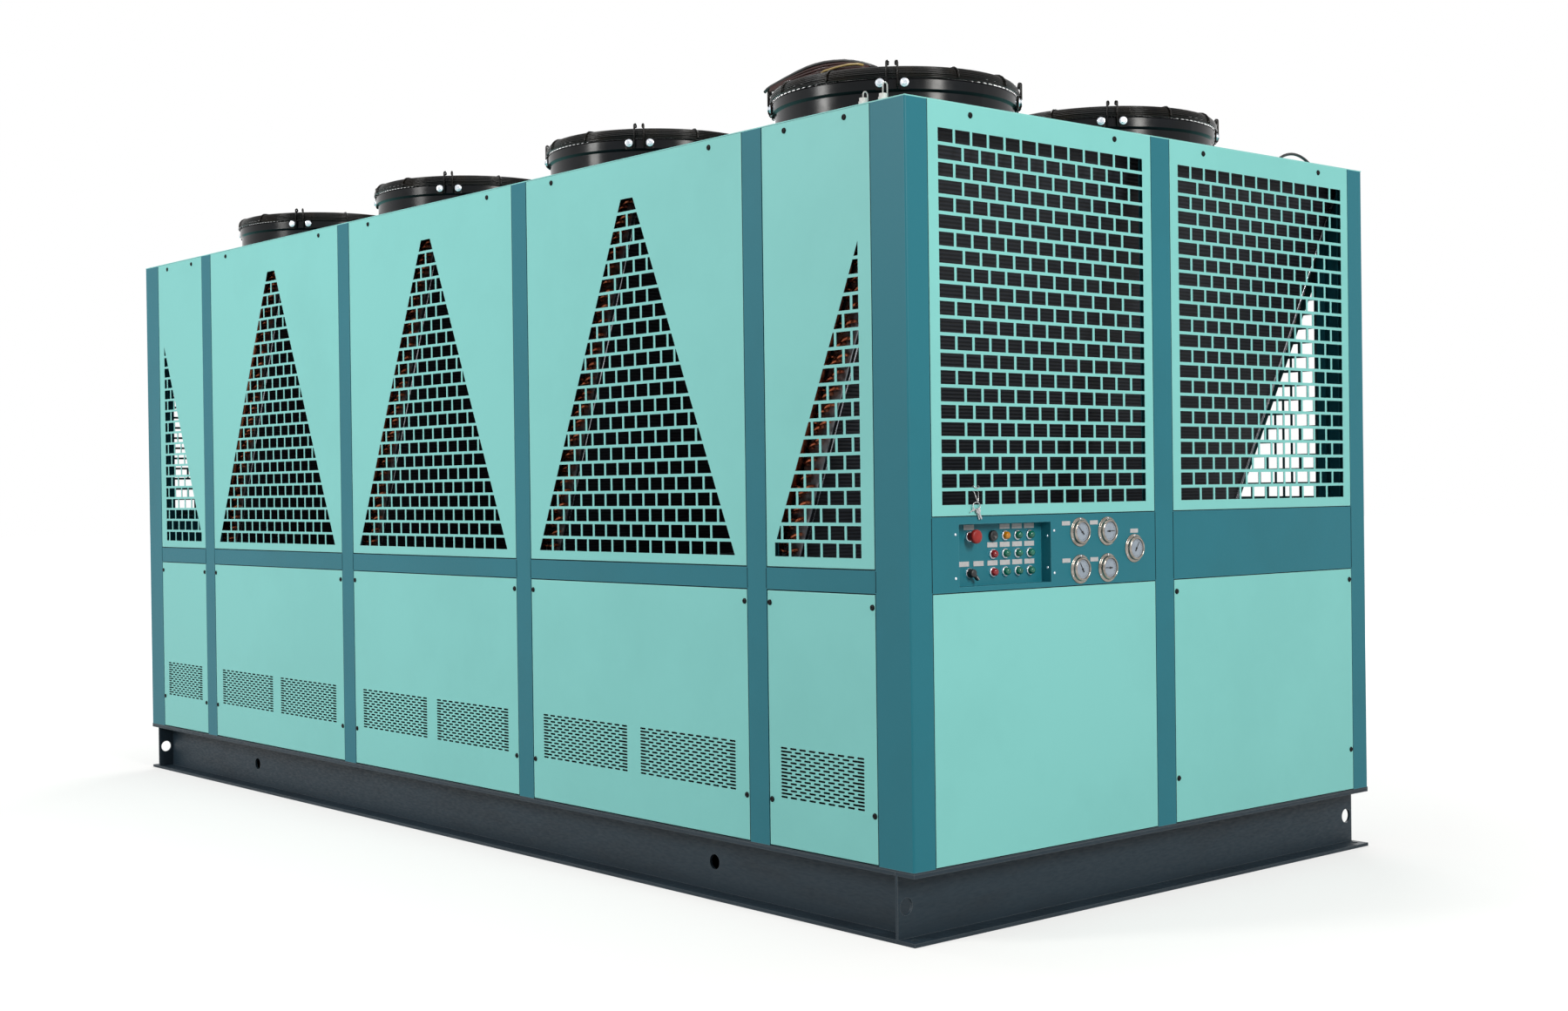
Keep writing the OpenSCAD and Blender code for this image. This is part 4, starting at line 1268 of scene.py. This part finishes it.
    def leg(self, stock: Stock, angle: float) -> None:
        """Adds one leg on the cowl's band, with its arm to the rim, its washer and its bolt."""
        turn = spin(angle)
        thick, _, high = self.leg_size
        stock.block(self.leg_size, self.finishes.wire,
                    turn @ move(self.leg_r + thick / 2, z=self.leg_z + high / 2), self.arris)
        reach = self.outer_r - self.leg_r
        arm_w, arm_t = self.arm_size
        arm_z = self.leg_z + high + arm_t / 2 - self.arris
        stock.block((reach, arm_w, arm_t), self.finishes.wire, turn @ move(self.leg_r + reach / 2, z=arm_z), self.arris)
        seat = turn @ move(self.leg_r + thick, z=self.bolt_z) @ spin(90, "Y")
        stock.turned(self.washer, self.finishes.zinc, seat, steps=20)
        stock.turned(self.bolt, self.finishes.zinc, seat, steps=6, smooth=False)

    def motor_plate(self, stock: Stock) -> None:
        """Adds the plate in the middle of the guard that carries the motor, with its screws."""
        level = move(z=self.top_z - self.plate_drop)
        rim = inset(self.inner_r - self.plate_room, self.plate_rim)
        stock.turned([(0, rim[0][1]), *rim, *self.plate_hub], self.finishes.fan, level, steps=40)
        for turn in self.plate_screw_turns:
            spot = level @ spin(turn) @ move(self.plate_screw_r, z=self.plate_screw_z)
            stock.turned(self.plate_screw, self.finishes.zinc, spot, steps=12)


@dataclass
class Leads:
    """The black lead over the near fan with its coloured cores, the arch on the roof and the gland wires."""

    finishes: Finishes
    lead_r: float = 0.005
    lead_y: float = -0.795
    lead: Profile = (
        (1.594, 2.5285), (1.606, 2.536), (1.6248, 2.5416), (1.6886, 2.5545), (1.7515, 2.5658), (1.800, 2.5725),
        (1.840, 2.5748), (1.880, 2.5745), (1.9219, 2.571), (1.9691, 2.5646), (2.0157, 2.5539), (2.0503, 2.5432),
        (2.0845, 2.5302), (2.112, 2.518))
    guard_z: float = 2.521
    core_r: float = 0.0046
    core_shares: Floats = (0.82, 0.64, 0.46, 0.28)
    earth: tuple[Vec3, ...] = (
        (1.860, -0.798, 2.538), (1.890, -0.806, 2.5445), (1.950, -0.807, 2.546), (2.000, -0.807, 2.5452),
        (2.040, -0.805, 2.5405), (2.060, -0.798, 2.534))
    arch_at: Vec3 = (2.400, 0.910, 2.335)
    arch_chord: float = 0.260
    arch_rise: float = 0.058
    gland_x: Floats = (2.440, 2.360)
    gland_y: float = -1.085
    gland_h: float = 0.018
    wire_r: float = 0.0021
    wire_bend: float = 0.0085
    wire_rise: Floats = (0.024, 0.010)
    steps: int = 20
    core_step: float = 0.001
    earth_share: float = 0.8

    def build(self) -> None:
        """Builds the lead, the arch and the wires as one piece and the cores as another."""
        stock = Stock("fan_leads")
        stock.tube([(x, self.lead_y, z) for x, z in self.lead], self.lead_r, self.finishes.sheath, sides=10)
        bend = (self.arch_chord ** 2 / 4 + self.arch_rise ** 2) / (2 * self.arch_rise)
        half = math.acos(1 - self.arch_rise / bend)
        turns = [half * (2 * i / self.steps - 1) for i in range(self.steps + 1)]
        arch = [(0, bend * math.sin(t), self.arch_rise - bend * (1 - math.cos(t))) for t in turns]
        stock.tube(arch, self.lead_r, self.finishes.sheath, sides=10, place=move(*self.arch_at))
        for x, rise in zip(self.gland_x, self.wire_rise):
            foot = move(x, self.gland_y + self.wire_bend, PLAN.roof_z)
            turns = [math.pi * i / self.steps for i in range(self.steps + 1)]
            top, bow = self.gland_h + rise, self.wire_bend
            loop = [(0, -bow * math.cos(t), top + bow * math.sin(t)) for t in turns]
            path = [(0, -bow, self.gland_h), *loop, (0, bow, 0)]
            stock.tube(path, self.wire_r, self.finishes.pale_core, place=foot)
        stock.make("cable_sheath", replaces=["cables"])
        cores = Stock("fan_lead_cores")
        for k, share in enumerate(self.core_shares):
            path = [(x, self.lead_y - self.core_step * k, self.guard_z + share * (z - self.guard_z))
                    for x, z in self.lead[2:-1]]
            cores.tube(path, self.core_r, self.finishes.brown_core, sides=8)
        cores.tube(self.earth, self.earth_share * self.core_r, self.finishes.earth_core, sides=8)
        cores.make("cable_sheath")


class Lamp(Enum):
    """The colours of the pilot lamps."""

    GREEN = "green"
    RED = "red"
    AMBER = "amber"


@dataclass
class ControlPanel:
    """The lamps, buttons, blank labels and screws of the control recess."""

    finishes: Finishes
    floor_depth: float = 0.038
    columns: Floats = (-0.734, -0.682, -0.630, -0.578)
    rows: Floats = (1.016, 1.068, 1.120)
    switch_y: float = -0.830
    label_lift: float = 0.026
    label_size: Vec3 = (0.042, 0.0145, 0.0012)
    bezel_r: float = 0.0145
    # Profiles in steps in from a radius, in shares of the lens's radius, or as they are.
    bezel: Profile = ((0, 0), (0, 0.004), (0.001, 0.0058), (0.0028, 0.0062), (0.0034, 0.005))
    lens_in: float = 0.0032
    lens: Profile = ((1, 0.0045), (1, 0.011), (0.95, 0.0135), (0.82, 0.0162), (0.62, 0.0182), (0.35, 0.0194),
                     (0, 0.0198))
    buzzer_out: float = 0.001
    buzzer_rim: Profile = ((0, 0), (0, 0.0085), (0.0015, 0.0105), (0.004, 0.011), (0.0055, 0.0095))
    buzzer_hub: Profile = ((0.004, 0.0095), (0.003, 0.006), (0, 0.006))
    stop_stem: Profile = ((0.011, -0.02), (0.011, 0.022))
    stop_head: Profile = ((0.011, 0.022), (0.0172, 0.0225), (0.0193, 0.024), (0.02, 0.026), (0.02, 0.0315),
                          (0.0193, 0.0342), (0.0168, 0.0362), (0.0125, 0.0372), (0, 0.0378))
    stop_collar: Profile = ((0.015, 0), (0.015, 0.004), (0.014, 0.0062), (0.0125, 0.0065), (0.0115, 0.005),
                            (0.0115, 0))
    knob: Profile = ((0.0108, -0.02), (0.0108, 0.004), (0.0125, 0.005), (0.0125, 0.013), (0.0115, 0.0195),
                     (0.0095, 0.0215), (0, 0.022))
    knob_bezel: Profile = ((0.0145, 0), (0.0145, 0.0025), (0.0138, 0.0038), (0.0132, 0.0038), (0.0132, 0))
    lever_turn: float = 45.0
    lever: Vec3 = (0.009, 0.034, 0.012)
    lever_at: Vec3 = (0.0, -0.011, 0.0158)
    lever_edge: float = 0.003
    # A pale strip on the lever's top, a painted highlight, and where it lies on the lever.
    mark: Vec3 = (0.0016, 0.012, 0.0008)
    mark_at: Vec3 = (0.0, -0.02, 0.0219)
    label_edge: float = 0.0004
    selector_labels: Floats = (-0.022, 0.038)
    screw: Profile = ((0.0042, 0), (0.004, 0.0014), (0.003, 0.0024), (0.0015, 0.0028), (0, 0.0019))
    face_screws: Profile = ((-0.923, 1.128), (-0.923, 1.005), (-0.511, 1.130), (-0.511, 1.006))
    wall_y: float = -0.525
    wall_depth: float = 0.014
    wall_screws: Floats = (1.115, 1.022)

    def on_floor(self, y: float, z: float) -> Matrix:
        """Gives a place on the floor of the recess."""
        return on_side(Side.RIGHT, y, z, self.floor_depth)

    def lamps(self) -> dict[Pair, Lamp]:
        """Lists the lamps: the top row starts with amber beside the buzzer, the others with red."""
        found = {}
        for row in self.rows:
            for column in self.columns:
                top, first = row == self.rows[2], column == self.columns[0]
                if top and first:
                    continue
                if first:
                    found[column, row] = Lamp.RED
                elif top and column == self.columns[1]:
                    found[column, row] = Lamp.AMBER
                else:
                    found[column, row] = Lamp.GREEN
        return found

    def build(self) -> None:
        """Builds the lamps, the buzzer, the buttons, the labels and the screws."""
        self.build_lamps()
        self.build_buzzer()
        self.build_stop()
        self.build_selector()
        self.build_labels()
        self.build_screws()

    def build_lamps(self) -> None:
        """Builds the bezels and, for each colour, the domed lenses."""
        bezel = inset(self.bezel_r, self.bezel)
        lens_r = self.bezel_r - self.lens_in
        dome = [(share * lens_r, height) for share, height in self.lens]
        bezels = Stock("pilot_lamp_bezels")
        lenses = {lamp: Stock(f"pilot_lamp_lenses_{lamp.value}") for lamp in Lamp}
        paint = {Lamp.GREEN: self.finishes.green, Lamp.RED: self.finishes.red, Lamp.AMBER: self.finishes.amber}
        for (y, z), lamp in self.lamps().items():
            bezels.turned(bezel, self.finishes.zinc, self.on_floor(y, z), steps=28)
            lenses[lamp].turned(dome, paint[lamp], self.on_floor(y, z), steps=28)
        bezels.make("gauge_chrome", replaces=["pilot_lamps"])
        for stock in lenses.values():
            stock.make("lamp_lens")

    def build_buzzer(self) -> None:
        """Builds the buzzer: a black disc with a pierced middle."""
        stock = Stock("buzzer_disc")
        profile = [*inset(self.bezel_r + self.buzzer_out, self.buzzer_rim), *self.buzzer_hub]
        stock.turned(profile, self.finishes.black, self.on_floor(self.columns[0], self.rows[2]), steps=28)
        stock.make("black_plastic", replaces=["buzzer"])

    def build_stop(self) -> None:
        """Builds the emergency stop's head, which moves, and its fixed collar."""
        place = self.on_floor(self.switch_y, self.rows[2])
        head = Stock("emergency_stop_head")
        head.turned(self.stop_stem, self.finishes.mushroom, place)
        head.turned(self.stop_head, self.finishes.mushroom, place, steps=40)
        head.make("red_plastic", body="stop_button", replaces=["emergency_stop"])
        collar = Stock("emergency_stop_collar")
        collar.turned(self.stop_collar, self.finishes.zinc, place, steps=32)
        collar.make("gauge_chrome")

    def build_selector(self) -> None:
        """Builds the lever selector, which turns, and its fixed bezel."""
        place = self.on_floor(self.switch_y, self.rows[0])
        knob = Stock("selector_lever")
        knob.turned(self.knob, self.finishes.black, place, steps=28)
        turn = place @ spin(self.lever_turn)
        knob.block(self.lever, self.finishes.black, turn @ move(*self.lever_at), self.lever_edge)
        # A pale strip along the lever's top: a painted highlight.
        knob.block(self.mark, self.finishes.label, turn @ move(*self.mark_at))
        knob.make("black_plastic", body="selector", replaces=["selector_switch"])
        bezel = Stock("selector_bezel")
        bezel.turned(self.knob_bezel, self.finishes.zinc, place, steps=28)
        bezel.make("gauge_chrome")

    def build_labels(self) -> None:
        """Builds the blank label plates over the controls."""
        stock = Stock("blank_labels")
        spots = [(y, z + self.label_lift) for y, z in self.lamps()]
        spots += [(self.switch_y, self.rows[2] + self.label_lift)]
        spots += [(self.switch_y + y, self.rows[0] + self.label_lift) for y in self.selector_labels]
        for y, z in spots:
            stock.block(self.label_size, self.finishes.label,
                        self.on_floor(y, z) @ move(z=self.label_size[2] / 2), self.label_edge)
        stock.make("gauge_chrome")

    def build_screws(self) -> None:
        """Builds the pale screws around the recess and on its right wall."""
        stock = Stock("recess_screws")
        spots = [on_side(Side.RIGHT, y, z) for y, z in self.face_screws]
        spots += [move(PLAN.half_length - self.wall_depth, self.wall_y, z) @ spin(90, "X") for z in self.wall_screws]
        for spot in spots:
            stock.turned(self.screw, self.finishes.zinc, spot, steps=14)
        stock.make("gauge_chrome")


@dataclass
class PressureGauges:
    """The five gauges beside the recess, with dials, needles and blank labels."""

    finishes: Finishes
    flange_r: float = 0.0435
    bezel_r: float = 0.0355
    dial_r: float = 0.0285
    dial_z: float = 0.0092
    sweep: float = 270.0
    ticks: int = 26
    tick_group: int = 5
    tick_long: float = 0.005
    tick_short: float = 0.0028
    tick_w: float = 0.0007
    tick_t: float = 0.0004
    tick_in: float = 0.003
    # Steps in from the flange's and from the bezel's radius.
    flange: Profile = ((0, 0), (0, 0.0018), (0.0012, 0.003))
    bezel: Profile = ((-0.0012, 0.003), (0, 0.0042), (0, 0.010), (0.001, 0.0128), (0.0032, 0.0146), (0.0055, 0.015))
    lip_z: float = 0.0125
    dial_t: float = 0.001
    screw_turns: Floats = (90, 210, 330)
    screw_r: float = 0.0395
    screw_z: float = 0.003
    screw: Profile = ((0.0026, 0), (0.0026, 0.0012), (0.0016, 0.002), (0, 0.0014))
    needle: Vec3 = (0.030, 0.0018, 0.0006)
    needle_at: float = 0.0065
    tail: Vec3 = (0.009, 0.0034, 0.0006)
    tail_at: float = -0.006
    needle_lift: float = 0.0016
    hub: Profile = ((0.003, 0), (0.003, 0.0024), (0.002, 0.003), (0, 0.003))
    label_size: Vec3 = (0.036, 0.0125, 0.001)
    label_edge: float = 0.0003

    def readings(self) -> dict[Pair, Vec3]:
        """Lists the gauges by place, each with its needle's angle and its label's offset."""
        beside = (-0.062, 0.027)
        return {
            (-0.396, 1.123): (135, *beside),
            (-0.396, 1.013): (120, *beside),
            (-0.271, 1.123): (2, *beside),
            (-0.271, 1.013): (178, *beside),
            (-0.146, 1.068): (58, 0.0, 0.053),
        }

    def build(self) -> None:
        """Builds the chrome cases, the dials with their needles and the labels."""
        cases, dials, labels = Stock("gauge_cases"), Stock("gauge_dials"), Stock("gauge_labels")
        for (y, z), (angle, label_y, label_z) in self.readings().items():
            place = on_side(Side.RIGHT, y, z)
            self.case(cases, place)
            self.dial(dials, place, angle)
            spot = on_side(Side.RIGHT, y + label_y, z + label_z) @ move(z=self.label_size[2] / 2)
            labels.block(self.label_size, self.finishes.label, spot, self.label_edge)
        cases.make("gauge_chrome", replaces=["pressure_gauges"])
        dials.make("gauge_chrome")
        labels.make("gauge_chrome")

    def case(self, stock: Stock, place: Matrix) -> None:
        """Adds one case: a flange with three screws, and a rolled bezel around the dial."""
        profile = [*inset(self.flange_r, self.flange), *inset(self.bezel_r, self.bezel),
                   (self.dial_r, self.lip_z), (self.dial_r, self.dial_z)]
        stock.turned(profile, self.finishes.steel, place, steps=48)
        for turn in self.screw_turns:
            t = math.radians(turn)
            spot = place @ move(self.screw_r * math.cos(t), self.screw_r * math.sin(t), self.screw_z)
            stock.turned(self.screw, self.finishes.zinc, spot, steps=12)

    def dial(self, stock: Stock, place: Matrix, angle: float) -> None:
        """Adds one dial with its ticks, needle and hub.

        Args:
            stock: the piece that takes it.
            place: the middle of the gauge's flange.
            angle: the needle's direction in degrees, from the right.
        """
        level, ink = place @ move(z=self.dial_z), self.finishes.ink
        stock.turned([(self.dial_r, -self.dial_t), (self.dial_r, 0), (0, 0)], self.finishes.dial, level, steps=40,
                     smooth=False)
        for k in range(self.ticks):
            turn = spin(self.sweep * k / (self.ticks - 1) - self.sweep / 2)
            long = self.tick_short if k % self.tick_group else self.tick_long
            stock.block((long, self.tick_w, self.tick_t), ink,
                        level @ turn @ move(self.dial_r - self.tick_in - long / 2))
        turn = level @ spin(angle)
        for size, along in ((self.needle, self.needle_at), (self.tail, self.tail_at)):
            stock.block(size, ink, turn @ move(along, z=self.needle_lift))
        stock.turned(self.hub, ink, level, steps=16)


@dataclass
class Keys:
    """The keys that hang on a wire loop from a bar of the right end's grille."""

    finishes: Finishes
    bar_low: float = 1.2530
    bar_high: float = 1.2622
    y: float = -0.837
    spread: float = 0.0095
    knot_z: float = 1.217
    ring_at: Pair = (-0.843, 1.207)
    ring_r: Pair = (0.0145, 0.0105)
    ring_out: float = 0.004
    ring_steps: int = 24
    ring_wire: float = 0.0014
    loop_wire: float = 0.0011
    front_gap: float = 0.0025
    back_gap: float = 0.006
    hang: float = 0.8
    # Tilt in degrees, distance from the grille, shift along it and scale of the two keys and the tag.
    hung: tuple[tuple[float, float, float, float], ...] = (
        (28, 0.007, 0.005, 1.0), (18, 0.0045, 0.004, 0.95), (-60, 0.0055, -0.008, 0.55))
    bow_r: float = 0.0085
    bow_drop: float = 0.006
    bow_turns: Floats = tuple(range(-70, 251, 20))
    hole_r: float = 0.0022
    hole_turns: Floats = tuple(range(0, 360, 36))
    key_t: float = 0.002
    blade: Profile = ((-0.0028, -0.032), (0.0, -0.034), (0.0028, -0.031), (0.0018, -0.028), (0.0028, -0.025),
                      (0.0016, -0.022), (0.0028, -0.018))

    def build(self) -> None:
        """Builds the wire loop, the split ring, two keys and a tag."""
        stock = Stock("hanging_keys")
        front, behind = PLAN.half_length + self.front_gap, PLAN.half_length - self.back_gap
        left, right, low = self.y - self.spread, self.y + self.spread, self.bar_low - 0.004
        loop = [(front, left, self.bar_high - 0.002), (front - 0.003, left, self.bar_high + 0.003),
                (behind, left, self.bar_high), (behind, left, low), (front - 0.002, left + 0.001, low - 0.003),
                (front + 0.002, self.y - 0.003, self.knot_z + 0.008), (front + 0.003, self.y + 0.001, self.knot_z),
                (front + 0.002, self.y + 0.004, self.knot_z + 0.008), (front - 0.002, right - 0.001, low - 0.003),
                (behind, right, low), (behind, right, self.bar_high), (front - 0.003, right, self.bar_high + 0.003),
                (front, right, self.bar_high - 0.002), (front, right - 0.004, self.bar_low + 0.004),
                (front, left + 0.004, self.bar_low + 0.004)]
        stock.tube(loop, self.loop_wire, self.finishes.nickel, closed=True)
        y, z = self.ring_at
        turns = [math.tau * k / self.ring_steps for k in range(self.ring_steps)]
        ring = [(front + self.ring_out, y + self.ring_r[0] * math.cos(t), z + self.ring_r[1] * math.sin(t))
                for t in turns]
        stock.tube(ring, self.ring_wire, self.finishes.nickel, closed=True)
        for tilt, lift, along, scale in self.hung:
            place = on_side(Side.RIGHT, y + along, z - self.hang * self.ring_r[1], -lift)
            self.key(stock, place @ spin(tilt) @ Matrix.Scale(scale, 4))
        stock.make("gauge_chrome")

    def key(self, stock: Stock, place: Matrix) -> None:
        """Adds one flat key that hangs from the hole in its bow."""
        turns = [math.radians(t) for t in self.bow_turns]
        bow = [(self.bow_r * math.cos(t), self.bow_r * math.sin(t) - self.bow_drop) for t in turns]
        hole = [(self.hole_r * math.cos(t), self.hole_r * math.sin(t)) for t in map(math.radians, self.hole_turns)]
        stock.cut_sheet([[*self.blade, *bow], hole], self.key_t, self.finishes.nickel, place)


@dataclass(frozen=True)
class AreaLamp:
    """A soft rectangular lamp that looks at the middle of the cabinet; its power is in watts."""

    name: str
    at: Vec3
    size: Pair
    power: float
    tint: str = "#FFFFFF"
    target: ClassVar[Vec3] = (0.0, 0.0, 1.2)

    def hang(self) -> None:
        """Hangs the lamp in the scene."""
        light = bpy.data.lights.new(self.name, "AREA")
        light.shape = "RECTANGLE"
        light.size, light.size_y = self.size
        light.energy = self.power
        light.color = linear(self.tint)[:3]
        holder = bpy.data.objects.new(self.name, light)
        holder.location = self.at
        holder.rotation_euler = (Vector(self.target) - Vector(self.at)).to_track_quat("-Z", "Y").to_euler()
        bpy.context.scene.collection.objects.link(holder)


@dataclass
class Studio:
    """The floor, the light and the camera."""

    camera_at: Vec3 = (6.37940, -4.86210, 1.25804)
    azimuth: float = 49.2357
    elevation: float = 0.4444
    roll: float = -0.7493
    focal_px: float = 2256.34
    image_w: float = 1800.0
    sensor_mm: float = 36.0
    floor_half: float = 60.0
    base_inset: float = 0.06
    sky: float = 0.30
    clip_end: float = 300.0
    floor_drop: float = 0.0005
    floor_colour: str = "#A0A09E"
    # The floor's glow rises from near the object to full white far from it.
    glow_reach: Pair = (3.0, 9.0)
    glow: Pair = (0.62, 1.0)
    lamps: tuple[AreaLamp, ...] = (
        AreaLamp("key_lamp", (9.4, -1.2, 5.0), (1.4, 3.2), 475.0, "#FFFDF8"),
        AreaLamp("front_lamp", (-1.5, -8.2, 5.2), (1.6, 3.4), 455.0, "#FFFEFB"),
        AreaLamp("back_lamp", (-6.0, 7.5, 6.0), (6.0, 4.0), 700.0),
        AreaLamp("top_lamp", (0.0, 0.0, 8.0), (7.0, 4.0), 260.0))

    def build(self) -> None:
        """Builds the camera, the floor, the lamps and the world."""
        self.build_camera()
        self.build_floor()
        self.build_world()
        for lamp in self.lamps:
            lamp.hang()
        bpy.context.scene.view_settings.view_transform = "Standard"

    def build_camera(self) -> None:
        """Places the camera at the photograph's viewpoint."""
        az, el, roll = (math.radians(v) for v in (self.azimuth, self.elevation, self.roll))
        back = Vector((math.sin(az) * math.cos(el), -math.cos(az) * math.cos(el), math.sin(el)))
        level = Vector((0, 0, 1)).cross(back).normalized()
        upright = back.cross(level)
        right = math.cos(roll) * level + math.sin(roll) * upright
        up = math.cos(roll) * upright - math.sin(roll) * level
        camera = bpy.data.cameras.new("photo_camera")
        camera.sensor_fit = "HORIZONTAL"
        camera.sensor_width = self.sensor_mm
        camera.lens = self.focal_px / self.image_w * self.sensor_mm
        camera.clip_end = self.clip_end
        holder = bpy.data.objects.new("photo_camera", camera)
        turn = Matrix((right, up, back)).transposed().to_4x4()
        holder.matrix_world = move(*self.camera_at) @ turn
        bpy.context.scene.collection.objects.link(holder)
        bpy.context.scene.camera = holder

    def build_floor(self) -> None:
        """Lays the pale floor, which the camera sees as white outside the object's shadow."""
        half = self.floor_half
        mesh = bpy.data.meshes.new("studio_floor")
        mesh.from_pydata([(x, y, 0) for x, y in rectangle(2 * half, 2 * half)], [], [(0, 1, 2, 3)])
        material = bpy.data.materials.new("matt white studio floor")
        material.use_nodes = True
        tree = material.node_tree
        tree.nodes.clear()
        matt = put(tree, "ShaderNodeBsdfDiffuse", {"Color": linear(self.floor_colour)})
        place = put(tree, "ShaderNodeTexCoord")
        away = put(tree, "ShaderNodeVectorMath", {0: place.outputs["Object"]}, operation="LENGTH")
        level = remap(tree, away.outputs["Value"], self.glow_reach, self.glow)
        across = put(tree, "ShaderNodeVectorMath", {0: place.outputs["Object"]}, operation="ABSOLUTE")
        parts = put(tree, "ShaderNodeSeparateXYZ", {0: across.outputs[0]})
        outside = [work(tree, "GREATER_THAN", parts.outputs[axis], reach - self.base_inset)
                   for axis, reach in (("X", PLAN.half_length), ("Y", PLAN.half_width))]
        lit = work(tree, "MULTIPLY", level, work(tree, "MAXIMUM", outside[0], outside[1]))
        glow = put(tree, "ShaderNodeEmission", {"Color": linear("#FFFFFF"), "Strength": lit})
        both = put(tree, "ShaderNodeAddShader", {0: matt.outputs[0], 1: glow.outputs[0]})
        floor = put(tree, "ShaderNodeMixShader", {0: self.seen(tree), 1: matt.outputs[0], 2: both.outputs[0]})
        put(tree, "ShaderNodeOutputMaterial", {"Surface": floor.outputs[0]})
        mesh.materials.append(material)
        piece = bpy.data.objects.new("studio_floor", mesh)
        piece.location.z = -self.floor_drop
        bpy.context.scene.collection.objects.link(piece)

    def seen(self, tree: bpy.types.NodeTree) -> bpy.types.NodeSocket:
        """Gives 1 for rays of the camera, of mirrors and of glass, and 0 for rays of light."""
        rays = put(tree, "ShaderNodeLightPath")
        glossy = work(tree, "MAXIMUM", rays.outputs["Is Camera Ray"], rays.outputs["Is Glossy Ray"])
        return work(tree, "MAXIMUM", glossy, rays.outputs["Is Transmission Ray"])

    def build_world(self) -> None:
        """Makes a soft grey sky that is white where it shows."""
        world = bpy.data.worlds.new("studio_sky")
        world.use_nodes = True
        tree = world.node_tree
        tree.nodes.clear()
        level = remap(tree, self.seen(tree), target=(self.sky, 1.0))
        sky = put(tree, "ShaderNodeBackground", {"Color": linear("#FFFFFF"), "Strength": level})
        put(tree, "ShaderNodeOutputWorld", {"Surface": sky.outputs[0]})
        bpy.context.scene.world = world


def main() -> None:
    """Builds the studio and every sub-assembly."""
    Studio().build()
    finishes = Finishes()
    finishes.dress()
    for part in (
            SlottedPanels, SideGrilles, EndGrilles, Screws, JointSeals, CoilEnds, FanGuards, Leads, ControlPanel,
            PressureGauges, Keys):
        part(finishes).build()


if __name__ == "__main__":
    logging.basicConfig(level=logging.INFO, format="%(message)s")
    main()
